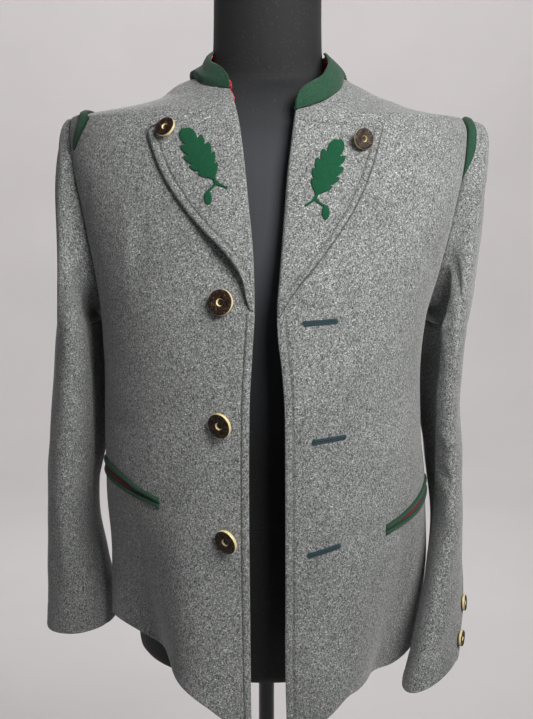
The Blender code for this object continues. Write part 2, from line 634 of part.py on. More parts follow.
def make_collar():
    count, rows = 17, 5
    lining_inset = COLLAR_CLOTH + COLLAR_LINING_GAP
    for name, inset, cloth, proud, finish in (
        ("collar", 0.0, COLLAR_CLOTH, 0.0, "green felt"),
        ("collar_lining", lining_inset, COLLAR_LINING_CLOTH, COLLAR_LINING_PROUD, "red felt"),
    ):
        faces = []
        for depth in (inset, inset + cloth):
            halves = [collar_grid(s, count, rows, depth, proud) for s in (RIGHT, LEFT)]
            faces.append(np.concatenate([halves[0][:, ::-1], halves[1][:, 1:]], axis=1))
        wall(name, faces[0], faces[1], finish)


# ---- Lapels and what lies on them --------------------------------------------------------------
def lapel_lift(side, from_middle, height):
    """How far the lapel's outer face stands over the front."""
    middle, level, reach, extra = LAPEL_ROLL[side]
    away = np.hypot(from_middle - middle, height - level) / reach
    return LAPEL_LIFT + extra * np.exp(-(away**2))


def on_lapel(side, from_middle, height, lift):
    return on_front(side, from_middle, height, lapel_lift(side, from_middle, height) + lift)


def make_lapel(side):
    rows, columns = 17, 9
    share = 1 - (1 - np.linspace(0, 1, rows)) ** 1.25
    outer_heights = LAPEL_FOOT[side] + (LAPEL_OUTER[side][-1][0] - LAPEL_FOOT[side]) * share
    outer_edge = np.stack([smooth_read(LAPEL_OUTER[side], 1, outer_heights), outer_heights], axis=1)
    top = LAPEL_TOP_INNER[side]
    roll_heights = LAPEL_FOOT[side] + (top[1] - LAPEL_FOOT[side]) * share
    roll = np.stack([smooth_read(FRONT_EDGE[side], 1, roll_heights) + 0.0002, roll_heights], axis=1)
    across = np.linspace(0, 1, columns)[None, :, None]
    flat = roll[:, None] + (outer_edge - roll)[:, None] * across
    outer = on_lapel(side, flat[..., 0], flat[..., 1], 0 * flat[..., 0])
    inner = on_lapel(side, flat[..., 0], flat[..., 1], 0 * flat[..., 0] - LAPEL_CLOTH)
    wall("lapel_" + SIDE_NAMES[side], outer, inner, "grey loden")


def rounded(points, steps):
    """A smooth line through the points, with steps pieces between each two."""
    points = np.asarray(points, float)
    ends = np.concatenate([[2 * points[0] - points[1]], points, [2 * points[-1] - points[-2]]])
    t = np.linspace(0, 1, steps, endpoint=False)[:, None]
    line = [
        0.5 * (2 * b + (c - a) * t + (2 * a - 5 * b + 4 * c - d) * t**2 + (3 * b - a - 3 * c + d) * t**3)
        for a, b, c, d in zip(ends, ends[1:], ends[2:], ends[3:])
    ]
    return [tuple(p) for piece in line for p in piece] + [tuple(points[-1])]


def leaf_outline(steps=2):
    """An oak leaf with a stalk and an acorn, as (across, up) points round its edge. Up runs to the tip."""
    edge = rounded([(LEAF_LENGTH * across * 1.08, LEAF_LENGTH * up) for across, up in LEAF_EDGE], steps)
    right = [(across, up + 0.0006) for across, up in edge]
    left = [(-across * 0.96, up * 0.985) for across, up in reversed(edge[:-1])]
    stalk = rounded([(-0.0016, -0.0012), (-0.0030, -0.0065), (-0.0072, -0.0125)], steps)
    stalk += rounded([(-0.0056, -0.0142), (-0.0018, -0.0088), (0.0012, -0.0052)], steps)
    across, up, half_width, half_length, lean = ACORN
    turns = [math.radians(t) for t in range(125, 125 + 321, 32)]
    acorn = [
        (
            across + half_width * math.cos(t) * math.cos(lean) + half_length * math.sin(t) * math.sin(lean),
            up + half_length * math.sin(t) * math.cos(lean) - half_width * math.cos(t) * math.sin(lean),
        )
        for t in turns
    ]
    return right + left + stalk + [(0.0050, -0.0062)] + acorn + [(0.0066, -0.0044), (0.0018, -0.0024)]


def make_leaf(side):
    lean = math.radians(LEAF_LEAN[side])
    base = LEAF_BASE[side]

    def place(across, up, lift):
        from_middle = base[0] + up * math.sin(lean) + across * math.cos(lean)
        height = base[1] + up * math.cos(lean) - across * math.sin(lean)
        return on_lapel(side, np.array(from_middle), np.array(height), np.array(lift))

    plate(
        "leaf_" + SIDE_NAMES[side], leaf_outline(),
        lambda a, b: place(a, b, SEAM_GAP + LEAF_CLOTH), lambda a, b: place(a, b, SEAM_GAP), "leaf felt",
    )


# ---- Trim, pockets, buttonholes ----------------------------------------------------------------
def trim_lines(side, count):
    """The wedge's inboard and outboard edges, front end first, with the panel's and the sleeve's normals."""
    reach = np.linspace(-1, 1, count)
    share = 0.5 + reach * TRIM_REACH[side] / 360
    turn = 2 * np.pi * share
    taper = np.cos(reach * math.pi / 2) ** 0.8
    bite = np.where(np.sin(turn) > 0, ARMHOLE_ANGLE["front"], -ARMHOLE_ANGLE["back"])

    # Inboard along the panel: round its rings at the front and back, and up the shoulder at the tip.
    inwards = 0.0010 + TRIM_INBOARD[side] * taper
    angle = 90 - np.abs(np.sin(turn)) * (bite + np.sign(bite) * np.degrees(inwards / 0.13))
    shoulder = [row for row in JACKET_RINGS if row[0] >= SHOULDER_TIP]
    widths = np.array([row[RING_COLUMNS.index(WIDTH_COLUMN[side])] for row in shoulder])
    crossed = inwards * np.clip(-np.cos(turn), 0, 1)
    climb = np.interp(crossed, widths[0] - widths, [row[0] for row in shoulder])
    height = (UNDERARM + SHOULDER_TIP) / 2 - (SHOULDER_TIP - UNDERARM) / 2 * np.cos(turn)
    inboard = skin(side, angle, height + climb - SHOULDER_TIP)

    panel = skin_normal(side, angle, height + climb - SHOULDER_TIP)

    seam = armhole_ring(side, share)
    outwards = sleeve_head(side, share, 0.15) - seam
    outwards /= np.linalg.norm(outwards, axis=1, keepdims=True)
    outboard = seam + outwards * (0.0014 + TRIM_OUTBOARD * taper[:, None])
    sleeve = side * np.cross(outwards, np.gradient(seam, axis=0))
    return inboard, outboard, panel, sleeve / np.linalg.norm(sleeve, axis=1, keepdims=True)


def make_shoulder_trim(side):
    inboard, outboard, panel, sleeve = trim_lines(side, 17)
    across = np.linspace(0, 1, 4)[:, None, None]
    out = panel + (sleeve - panel) * across
    out /= np.linalg.norm(out, axis=2, keepdims=True)
    at_tip = (np.cos(np.linspace(-1, 1, 17) * math.pi / 2) ** 4)[:, None]
    bulge = 0.0012 * np.sin(np.pi * across) + 0.0011 * at_tip
    under = inboard + (outboard - inboard) * across + out * (SEAM_GAP + 0.0004 + bulge)
    wall("shoulder_trim_" + SIDE_NAMES[side], under + out * TRIM_CLOTH, under, "green felt")


def pocket_place(side):
    """Places (share along the pocket, distance above its middle, lift) on the front."""
    def place(along, above, lift):
        (inner_end, outer_end), (low, high) = POCKET_ANGLES[side], POCKET_HEIGHTS[side]
        angle = inner_end + (outer_end - inner_end) * along
        return lifted(side, np.array(angle), np.array(low + (high - low) * along + above), np.array(lift))
    return place


def strip_loop(count, start, end, half_height):
    """A loop round a strip: along its upper edge and back along its lower edge."""
    steps = np.linspace(start, end, count)
    upper = [(s, half_height(k)) for k, s in enumerate(steps)]
    lower = [(s, -half_height(k)) for k, s in reversed(list(enumerate(steps)))]
    return upper + lower


def make_pocket(side):
    count = 9
    place = pocket_place(side)
    full = strip_loop(count, 0, 1, lambda k: POCKET_HALF_HEIGHT)
    slot = strip_loop(count, 0.05, 0.95, lambda k: 0.0004 + POCKET_SLOT * math.sin(math.pi * k / (count - 1)))
    top = SEAM_GAP + POCKET_CLOTH
    frame("pocket_welt_" + SIDE_NAMES[side], full, slot, place, SEAM_GAP, top, "green felt")
    steps = np.linspace(0.09, 0.91, 8)
    spread = np.array([-1.0, 1.0])
    reach = np.maximum(POCKET_SLOT * np.sin(np.pi * (steps - 0.05) / 0.9) - 0.0003, 0.0002)
    outer, inner = (
        np.array([[place(s, v * r, lift) for v in spread] for s, r in zip(steps, reach)])
        for lift in (SEAM_GAP + POCKET_CLOTH * 0.55, SEAM_GAP)
    )
    wall("pocket_lining_" + SIDE_NAMES[side], outer, inner, "red felt")


def make_buttonhole(number, place, slope):
    tilt = math.radians(slope)
    count = 6

    def on_panel(along, above, lift):
        from_middle = place[0] + along * math.cos(tilt) + above * math.sin(tilt)
        height = place[1] + above * math.cos(tilt) - along * math.sin(tilt)
        return on_front(LEFT, np.array(from_middle), np.array(height), np.array(lift))

    half = HOLE_LENGTH / 2
    outside = strip_loop(count, -half, half, lambda k: HOLE_HALF_HEIGHT)
    slit = strip_loop(count, -half + 0.0022, half - 0.0022, lambda k: HOLE_SLIT)
    frame(f"buttonhole_{number}", outside, slit, on_panel, SEAM_GAP, SEAM_GAP + HOLE_CLOTH, "teal thread")


# ---- Buttons -----------------------------------------------------------------------------------
def button_profile(radius, stand, shank):
    """A horn disc with a dished middle on a thread shank, from its foot to its face."""
    thick = radius * 0.36
    return (
        (0, 0), (shank, 0), (shank, stand), (radius * 0.90, stand), (radius, stand + thick * 0.30),
        (radius * 0.99, stand + thick * 0.72), (radius * 0.88, stand + thick),
        (radius * 0.38, stand + thick * 0.92), (radius * 0.26, stand + thick * 0.62),
        (0, stand + thick * 0.55),
    )


def make_button(name, point, normal, radius=BUTTON_RADIUS, steps=16):
    """A button flat on the cloth, with a short shank."""
    seat = np.asarray(point) + np.asarray(normal) * SEAM_GAP
    turned(name, button_profile(radius, radius * 0.16, radius * 0.30), facing(seat, normal), "horn", steps)


def make_front_button(number, from_middle, height, turn, nod, stand):
    """A button that hangs askew on a longer shank, whose tilted foot just clears the cloth."""
    angle = angle_at(RIGHT, from_middle, height)
    flat = skin_normal(RIGHT, angle, height)
    askew = Matrix.Rotation(math.radians(-turn), 3, "Z") @ Matrix.Rotation(math.radians(nod), 3, "X")
    normal = askew @ Vector(flat)
    shank = BUTTON_RADIUS * FRONT_SHANK
    tilt = normal.angle(Vector(flat))
    seat = skin(RIGHT, angle, height) + flat * (SEAM_GAP + shank * math.sin(tilt))
    turned(
        f"front_button_{number}", button_profile(BUTTON_RADIUS, stand, shank),
        facing(seat, normal), "horn", 16,
    )


def make_buttons():
    for number, row in enumerate(FRONT_BUTTONS, 1):
        make_front_button(number, *row)
    for side, (from_middle, height) in LAPEL_BUTTONS.items():
        normal = skin_normal(side, angle_at(side, from_middle, height), height)
        place = on_lapel(side, np.array(from_middle), np.array(height), np.array(0.0))
        make_button("lapel_button_" + SIDE_NAMES[side], place, normal, LAPEL_BUTTON_RADIUS)
    for side, (share, heights) in CUFF_BUTTONS.items():
        for number, height in enumerate(heights, 1):
            near = 0.004
            across = sleeve_point(side, share + near, height) - sleeve_point(side, share - near, height)
            down = sleeve_point(side, share, height - near) - sleeve_point(side, share, height + near)
            normal = side * np.cross(down, across)
            normal /= np.linalg.norm(normal)
            point = sleeve_point(side, share, height) + normal * CUFF_BUTTON_LIFT[side]
            make_button(f"cuff_button_{SIDE_NAMES[side]}_{number}", point, normal, CUFF_BUTTON_RADIUS, 14)


# ---- Dress form --------------------------------------------------------------------------------
def make_form():
    around = 28
    heights = np.array([
        0.840, 0.900, 0.990, 1.080, 1.180, 1.280, 1.340, 1.385, 1.420, 1.440, 1.4520, 1.4603, 1.4642,
        1.4681, 1.4731, 1.4793, 1.4858, 1.4900, 1.4960, 1.5060, 1.5180, 1.5350, 1.6000,
    ])
    angles = np.linspace(0, 360, around, endpoint=False)
    turn = np.where(angles > 180, 360 - angles, angles)
    sides = np.where(angles > 180, RIGHT, LEFT)
    rings = np.array([
        [ring_point(FORM_RINGS, s, np.array(a), np.array(h))[0] for s, a in zip(sides, turn)]
        for h in heights
    ])
    points = list(rings.reshape(-1, 3))
    points += [rings[0].mean(axis=0), rings[-1].mean(axis=0)]
    faces = []
    for row in range(len(heights) - 1):
        for i in range(around):
            j = (i + 1) % around
            faces.append([row * around + i, row * around + j, (row + 1) * around + j, (row + 1) * around + i])
    last = (len(heights) - 1) * around
    for i in range(around):
        j = (i + 1) % around
        faces.append([j, i, len(points) - 2])
        faces.append([last + i, last + j, len(points) - 1])
    solid("form_torso", points, faces, "black jersey")


def make_stand():
    neck_top, neck = FORM_RINGS[-1][0], FORM_RINGS[-1]
    cap = (
        (0, 0), (0.047, 0), (0.050, 0.0025), (0.050, 0.0075), (0.044, 0.0115), (0.024, 0.0140),
        (0, 0.0148),
    )
    cap_place = Matrix.Translation((0, neck[RING_COLUMNS.index("centre_y")], neck_top + FORM_GAP))
    turned("neck_cap", cap, cap_place, "black steel", 24)
    pole_foot = BOSS_HEIGHT + FORM_GAP
    pole_length = FORM_RINGS[0][0] - FORM_GAP - pole_foot
    pole = ((0, 0), (POLE_RADIUS, 0), (POLE_RADIUS, pole_length), (0, pole_length))
    turned("stand_pole", pole, Matrix.Translation((0, POLE_Y, pole_foot)), "black steel", 20)
    base = (
        (0, 0), (BASE_RADIUS - 0.003, 0), (BASE_RADIUS, 0.003), (BASE_RADIUS, BASE_HEIGHT * 0.6),
        (BASE_RADIUS - 0.006, BASE_HEIGHT), (0, BASE_HEIGHT),
    )
    turned("stand_base", base, Matrix.Translation((0, POLE_Y, 0)), "black steel", 32)
    boss_foot = BASE_HEIGHT + FORM_GAP
    boss_length = BOSS_HEIGHT - boss_foot
    boss = (
        (0, 0), (BOSS_RADIUS, 0), (BOSS_RADIUS, 0.004), (BOSS_RADIUS * 0.92, boss_length * 0.80),
        (BOSS_RADIUS * 0.76, boss_length), (0, boss_length),
    )
    turned("stand_boss", boss, Matrix.Translation((0, POLE_Y, boss_foot)), "black steel", 24)


def main():
    for old in list(bpy.data.objects):
        bpy.data.objects.remove(old, do_unlink=True)
    for side in (RIGHT, LEFT):
        make_front(side)
        make_sleeve(side)
        make_lapel(side)
        make_leaf(side)
        make_shoulder_trim(side)
        make_pocket(side)
    make_back()
    make_collar()
    for number, (place, slope) in enumerate(zip(HOLE_PLACES, HOLE_SLOPES), 1):
        make_buttonhole(number, place, slope)
    make_buttons()
    make_form()
    make_stand()
    to_origin = Matrix.Translation((-PLAN_MIDDLE[0], -PLAN_MIDDLE[1], 0))
    for made in bpy.data.objects:
        made.matrix_world = to_origin @ made.matrix_world


main()
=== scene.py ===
# %% [markdown]
# # A Tyrolean loden jacket on a dress form
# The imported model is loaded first. It is the fixed frame: every piece below lies where its solid lies,
# and takes that solid's place, with real cloth edges, seams, stitches and creases on it.

# %% Load the frame
import math

import bmesh
import bpy
import numpy as np
from mathutils import Matrix, Vector


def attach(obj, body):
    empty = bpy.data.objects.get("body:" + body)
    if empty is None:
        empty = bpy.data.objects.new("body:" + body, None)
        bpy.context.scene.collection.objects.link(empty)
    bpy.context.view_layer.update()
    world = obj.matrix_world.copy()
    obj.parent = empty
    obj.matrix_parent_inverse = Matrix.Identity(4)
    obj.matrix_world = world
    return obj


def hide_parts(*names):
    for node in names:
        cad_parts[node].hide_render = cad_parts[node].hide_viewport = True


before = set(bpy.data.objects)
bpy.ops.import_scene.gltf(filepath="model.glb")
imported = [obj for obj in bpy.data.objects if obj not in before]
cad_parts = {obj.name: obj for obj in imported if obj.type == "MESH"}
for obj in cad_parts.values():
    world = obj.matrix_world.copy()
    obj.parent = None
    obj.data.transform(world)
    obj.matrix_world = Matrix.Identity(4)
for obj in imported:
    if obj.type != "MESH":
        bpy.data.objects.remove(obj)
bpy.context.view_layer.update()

# %% [markdown]
# ## The jacket's sizes
# A tailor drafts a jacket from a few measures. These are the same tables that the solids come from:
# level rings round the body, the front edges, the hem, the sleeves and the lapels. Side -1 is the
# wearer's right, at -X, and side +1 the left. An angle of 0 is the centre front, 90 the side seam and
# 180 the centre back. The tables use their own middle, so PLAN_MIDDLE is taken off as a mesh is made.

# %% Sizes and tables
RIGHT, LEFT = -1, 1
SIDES = {"right": RIGHT, "left": LEFT}
PLAN_MIDDLE = np.array([-0.0122479, 0.0107875, 0.0])
CLOTH, SEAM_GAP = 0.0026, 0.0004
HEM = {     # angle, height
    RIGHT: (
        (0.0, 0.814), (10.0, 0.828), (20.0, 0.852), (30.0, 0.866), (45.0, 0.873), (60.0, 0.877),
        (80.0, 0.889), (95.0, 0.886), (120.0, 0.878), (150.0, 0.874), (180.0, 0.872),
    ),
    LEFT: (
        (0.0, 0.808), (10.0, 0.818), (20.0, 0.836), (30.0, 0.854), (45.0, 0.852), (60.0, 0.848),
        (75.0, 0.860), (95.0, 0.862), (120.0, 0.868), (150.0, 0.872), (180.0, 0.872),
    ),
}
HEM_LEVEL, HEM_BLEND = 0.868, 0.22
UNDERARM, SHOULDER_TIP, NECK_SIDE = 1.245, 1.4575, 1.500
ARMHOLE_ANGLE = {"front": 18.5, "back": 16.0}
ARMHOLE_OVERLAP = 0.36      # degrees that a panel runs on past the armhole's oval
ARC_PER_DEGREE = 0.00265    # metres of cloth round the body for one degree
RINGS = ("height", "right_width", "left_width", "front_depth", "back_depth", "centre_y", "squareness")
WIDTH_COLUMN = {RIGHT: 1, LEFT: 2}
JACKET_RINGS = (
    (0.820, 0.176, 0.170, 0.166, 0.122, 0.008, 2.00),
    (0.900, 0.180, 0.180, 0.162, 0.120, 0.008, 2.05),
    (0.970, 0.181, 0.186, 0.160, 0.117, 0.008, 2.10),
    (1.050, 0.186, 0.184, 0.158, 0.115, 0.008, 2.15),
    (1.120, 0.185, 0.177, 0.157, 0.117, 0.008, 2.20),
    (1.180, 0.184, 0.175, 0.155, 0.122, 0.008, 2.20),
    (1.240, 0.186, 0.179, 0.152, 0.127, 0.009, 2.25),
    (1.290, 0.193, 0.193, 0.143, 0.128, 0.010, 2.35),
    (1.350, 0.206, 0.210, 0.128, 0.122, 0.012, 2.45),
    (1.410, 0.215, 0.221, 0.114, 0.110, 0.014, 2.50),
    (1.440, 0.216, 0.222, 0.104, 0.099, 0.015, 2.40),
    (1.4575, 0.2140, 0.2165, 0.0965, 0.0915, 0.015, 2.15),
    (1.4620, 0.2010, 0.1870, 0.0935, 0.0890, 0.015, 2.08),
    (1.4660, 0.1790, 0.1680, 0.0905, 0.0873, 0.015, 2.05),
    (1.4700, 0.1550, 0.1535, 0.0875, 0.0853, 0.015, 2.00),
    (1.4750, 0.1325, 0.1415, 0.0842, 0.0822, 0.015, 2.00),
    (1.4810, 0.1155, 0.1235, 0.0785, 0.0792, 0.015, 2.00),
    (1.4880, 0.1070, 0.1100, 0.0708, 0.0760, 0.015, 2.00),
    (1.4940, 0.0985, 0.0985, 0.0645, 0.0735, 0.015, 2.00),
    (1.5000, 0.0830, 0.0875, 0.0580, 0.0700, 0.015, 2.00),
)
FORM_RINGS = (
    (0.840, 0.154, 0.154, 0.113, 0.098, 0.018, 2.00),
    (0.900, 0.157, 0.159, 0.116, 0.103, 0.014, 2.00),
    (0.990, 0.155, 0.155, 0.112, 0.094, 0.010, 2.10),
    (1.080, 0.148, 0.148, 0.106, 0.090, 0.008, 2.15),
    (1.180, 0.155, 0.155, 0.114, 0.099, 0.008, 2.20),
    (1.280, 0.168, 0.168, 0.122, 0.107, 0.010, 2.30),
    (1.350, 0.180, 0.182, 0.114, 0.106, 0.012, 2.35),
    (1.410, 0.189, 0.192, 0.100, 0.095, 0.014, 2.35),
    (1.440, 0.190, 0.193, 0.090, 0.084, 0.015, 2.20),
    (1.4520, 0.1890, 0.1900, 0.0830, 0.0780, 0.015, 2.00),
    (1.4603, 0.1820, 0.1770, 0.0805, 0.0758, 0.015, 2.00),
    (1.4642, 0.1690, 0.1600, 0.0788, 0.0745, 0.015, 2.00),
    (1.4681, 0.1490, 0.1460, 0.0768, 0.0733, 0.015, 2.00),
    (1.4731, 0.1280, 0.1340, 0.0735, 0.0710, 0.014, 2.00),
    (1.4793, 0.1090, 0.1160, 0.0690, 0.0680, 0.013, 2.00),
    (1.4858, 0.0980, 0.1020, 0.0628, 0.0642, 0.012, 2.00),
    (1.4960, 0.0710, 0.0750, 0.0510, 0.0560, 0.011, 2.00),
    (1.5120, 0.0610, 0.0625, 0.0490, 0.0500, 0.008, 2.00),
    (1.5350, 0.0580, 0.0600, 0.0485, 0.0485, 0.006, 2.00),
    (1.6000, 0.0565, 0.0590, 0.0485, 0.0485, 0.004, 2.00),
)
FRONT_EDGE = {      # height, distance from the middle
    RIGHT: (
        (0.830, 0.0155), (0.940, 0.0170), (1.076, 0.0177), (1.163, 0.0170), (1.216, 0.0143),
        (1.269, 0.0115), (1.306, 0.0122), (1.368, 0.0176), (1.438, 0.0255), (1.470, 0.0325),
        (1.484, 0.0386), (1.4862, 0.0515), (1.4905, 0.0665), (1.500, 0.0770),
    ),
    LEFT: (
        (0.825, 0.0250), (0.943, 0.0203), (1.036, 0.0192), (1.155, 0.0182), (1.205, 0.0150),
        (1.235, 0.0112), (1.263, 0.0100), (1.293, 0.0122), (1.340, 0.0160), (1.396, 0.0205),
        (1.434, 0.0252), (1.460, 0.0295), (1.4650, 0.0445), (1.4740, 0.0640), (1.487, 0.0780),
        (1.500, 0.0825),
    ),
}
COLLAR_END = {RIGHT: 1.484, LEFT: 1.460}
FOLDS = (       # side, angle, half_angle, push, top, fade
    (RIGHT, 55.0, 30.0, -0.036, 1.075, 1.3), (RIGHT, 22.0, 20.0, 0.011, 1.090, 1.4),
    (RIGHT, 84.0, 17.0, 0.004, 1.060, 1.2), (LEFT, 53.0, 22.0, -0.019, 1.060, 1.3),
    (LEFT, 21.0, 19.0, 0.009, 1.080, 1.4), (LEFT, 86.0, 17.0, 0.005, 1.080, 1.2),
    (RIGHT, 122.0, 15.0, 0.009, 1.080, 1.3), (RIGHT, 150.0, 14.0, -0.004, 1.040, 1.3),
    (LEFT, 124.0, 15.0, 0.009, 1.080, 1.3), (LEFT, 152.0, 14.0, -0.004, 1.040, 1.3),
)
SLEEVE_RINGS = {    # height, centre x and y, half width, half depth, twist in degrees
    RIGHT: (
        (1.235, 0.2116, 0.014, 0.0231, 0.079, 0.0),
        (1.150, 0.2167, 0.016, 0.0292, 0.075, 0.0),
        (1.080, 0.2236, 0.019, 0.0312, 0.070, 0.0),
        (1.035, 0.2297, 0.022, 0.0282, 0.066, 0.0),
        (0.995, 0.2313, 0.025, 0.0290, 0.062, 0.0),
        (0.940, 0.2296, 0.030, 0.0356, 0.057, 0.0),
        (0.900, 0.2273, 0.033, 0.0403, 0.054, 0.0),
        (0.861, 0.2279, 0.036, 0.0425, 0.051, 0.0),
    ),
    LEFT: (
        (1.235, 0.2035, 0.014, 0.0215, 0.079, 0.0),
        (1.150, 0.2000, 0.016, 0.0215, 0.077, 0.0),
        (1.080, 0.2065, 0.010, 0.0200, 0.073, 2.0),
        (1.020, 0.2090, -0.010, 0.0185, 0.067, 6.0),
        (0.960, 0.2035, -0.040, 0.0200, 0.060, 16.0),
        (0.900, 0.1945, -0.064, 0.0235, 0.055, 26.0),
        (0.855, 0.1850, -0.079, 0.0265, 0.052, 32.0),
    ),
}
SLEEVE_HEAD = {     # height, distance of the outermost point from the middle
    RIGHT: ((1.235, 0.2350), (1.275, 0.2335), (1.330, 0.2327), (1.387, 0.2340), (1.414, 0.2322),
            (1.4415, 0.2272), (1.4510, 0.2240), (1.4575, 0.2185)),
    LEFT: ((1.235, 0.2262), (1.275, 0.2330), (1.330, 0.2390), (1.387, 0.2432), (1.414, 0.2455),
           (1.4415, 0.2455), (1.4510, 0.2405), (1.4575, 0.2240)),
}
SLEEVE_HEAD_SQUARENESS, HEAD_EASE = 3.0, 0.006
CUFF_RISE = {RIGHT: -0.10, LEFT: 0.32}
COLLAR_HEIGHT = {"back": 0.034, "side": 0.0255, "front": 0.0220}
COLLAR_LEAN = {"back": 0.010, "side": 0.0185, "front": -0.0010}
COLLAR_CLOTH, COLLAR_LINING_CLOTH = 0.0028, 0.0012
COLLAR_END_ROUND = {RIGHT: (0.0220, 0.0160), LEFT: (0.0190, 0.0150)}     # length, depth of the round
COLLAR_LINING_PROUD = {RIGHT: 0.0002, LEFT: -0.0035}
COLLAR_SLUMP = (    # level up the collar, lean: the wearer's right side has slumped into a fold
    (0.00, 0.0000), (0.15, -0.0018), (0.28, -0.0014), (0.42, 0.0055), (0.54, 0.0115), (0.70, 0.0140),
    (0.86, 0.0165), (1.00, 0.0215),
)
LAPEL_CLOTH, LAPEL_ROLL_CLOTH, LAPEL_LIFT, LAPEL_ROLL_RADIUS = 0.0024, 0.0020, 0.0039, 0.0036
LAPEL_FOOT = {RIGHT: 1.262, LEFT: 1.256}
LAPEL_OUTER = {     # height, distance from the middle
    RIGHT: (
        (1.262, 0.0165), (1.275, 0.0205), (1.290, 0.0240), (1.306, 0.0330), (1.322, 0.0465),
        (1.342, 0.0660), (1.366, 0.0860), (1.396, 0.1050), (1.424, 0.1165), (1.440, 0.1215),
    ),
    LEFT: (
        (1.256, 0.0140), (1.270, 0.0215), (1.286, 0.0330), (1.306, 0.0500), (1.334, 0.0710),
        (1.362, 0.0885), (1.392, 0.1025), (1.420, 0.1120), (1.440, 0.1175), (1.446, 0.1190),
    ),
}
LAPEL_TOP_INNER = {RIGHT: (0.0345, 1.4745), LEFT: (0.0290, 1.4555)}     # distance from the middle, height
LAPEL_ROLL = {      # where it stands off most: distance from the middle, height, reach, extra lift
    RIGHT: (0.043, 1.312, 0.034, 0.0085), LEFT: (0.045, 1.300, 0.030, 0.0030),
}
TRIM_CLOTH = 0.0016
SHOULDER_EDGE = (   # wearer's right, front half: share of the way up, angle and height of the sleeve's edge
    (0.00, 72.40, 1.3840), (0.20, 71.40, 1.4050), (0.36, 70.80, 1.4220), (0.44, 70.25, 1.4295),
    (0.52, 68.25, 1.4370), (0.59, 66.25, 1.4440), (0.65, 65.50, 1.4505), (0.72, 66.00, 1.4566),
    (0.82, 73.00, 1.4605), (0.91, 81.50, 1.4622), (1.00, 90.00, 1.4628),
)
TRIM_EDGE = (       # the same shares: angle and height of the trim's inboard edge
    (0.36, 70.60, 1.4215), (0.44, 67.75, 1.4255), (0.52, 64.40, 1.4325), (0.59, 61.75, 1.4400),
    (0.65, 59.60, 1.4470), (0.72, 59.00, 1.4545), (0.82, 68.50, 1.4618), (0.91, 79.50, 1.4637),
    (1.00, 90.00, 1.4642),
)
TRIM_WIDTH = (      # wearer's left: share round the armhole, width on the sleeve head
    (0.310, 0.0010), (0.335, 0.0062), (0.360, 0.0105), (0.380, 0.0122), (0.420, 0.0125), (0.460, 0.0128),
    (0.500, 0.0130), (0.540, 0.0128), (0.590, 0.0115), (0.640, 0.0075), (0.690, 0.0010),
)
POCKET_ANGLES = {RIGHT: (35.2, 77.0), LEFT: (42.0, 82.0)}
POCKET_HEIGHTS = {RIGHT: (1.059, 1.0768), LEFT: (1.026, 1.050)}
POCKET_BOW = {RIGHT: 0.0045, LEFT: 0.0}
POCKET_HALF_HEIGHT, POCKET_CLOTH = 0.0088, 0.0018
POCKET_RED = {RIGHT: (0.16, 0.94), LEFT: (0.12, 0.62)}     # where the red shows, inner end first
POCKET_RED_CUT = 0.01       # width of the strip of red that is caught behind the lips
HOLE_PLACES = ((0.0535, 1.2505), (0.0630, 1.1320), (0.0585, 1.0160))       # distance from the middle, height
HOLE_SLOPES, HOLE_LENGTH = (-3.0, -6.0, -14.0), 0.034
BUTTON_RADIUS, LAPEL_BUTTON_RADIUS, CUFF_BUTTON_RADIUS = 0.0130, 0.0105, 0.0090
FRONT_BUTTONS = (       # from_middle, height, turn to the wearer's right, nod, stand off the cloth
    (0.0426, 1.2700, 16.0, 3.0, 0.0040), (0.0418, 1.1508, 25.0, 11.0, 0.0060),
    (0.0352, 1.0325, 31.0, 15.0, 0.0072),
)
LAPEL_BUTTONS = {RIGHT: (0.0980, 1.4375), LEFT: (0.0938, 1.4280)}
LAPEL_BUTTON_TURN = {RIGHT: (-19.0, -7.0), LEFT: (15.0, 17.0)}       # degrees to the side, and nod
CUFF_BUTTON_LIFT = {RIGHT: 0.0, LEFT: -0.0002}
CUFF_BUTTONS = {RIGHT: (0.60, (0.925, 0.893)), LEFT: (0.52, (0.920, 0.880))}    # share round, heights
LEAF_LENGTH, LEAF_CLOTH = 0.0600, 0.0011
LEAF_EDGE = (       # across, up, in leaf lengths, one side from its foot to its tip
    (0.025, 0.000), (0.060, 0.050), (0.120, 0.095), (0.175, 0.150), (0.207, 0.205), (0.198, 0.236),
    (0.160, 0.226), (0.190, 0.262), (0.242, 0.315), (0.270, 0.372), (0.262, 0.408), (0.222, 0.404),
    (0.200, 0.394), (0.236, 0.440), (0.268, 0.500), (0.278, 0.560), (0.258, 0.592), (0.212, 0.584),
    (0.182, 0.570), (0.208, 0.620), (0.234, 0.685), (0.234, 0.742), (0.206, 0.768), (0.158, 0.752),
    (0.130, 0.742), (0.144, 0.790), (0.152, 0.850), (0.140, 0.910), (0.106, 0.965), (0.056, 0.995),
    (0.0, 1.000),
)
ACORN = (0.0148, -0.0116, 0.0038, 0.0070, math.radians(-24))    # across, up, half width, half length, lean
LEAF_BASE = {RIGHT: (0.0512, 1.3888), LEFT: (0.0492, 1.3732)}
LEAF_LEAN = {RIGHT: 32.0, LEFT: 23.0}
POLE_RADIUS, BASE_RADIUS, BASE_HEIGHT, BOSS_RADIUS, BOSS_HEIGHT = 0.0095, 0.170, 0.012, 0.026, 0.050
FORM_GAP, POLE_Y = 0.0003, 0.018
print("jacket from", min(row[1] for row in HEM[LEFT]), "to", NECK_SIDE + COLLAR_HEIGHT["back"], "m")
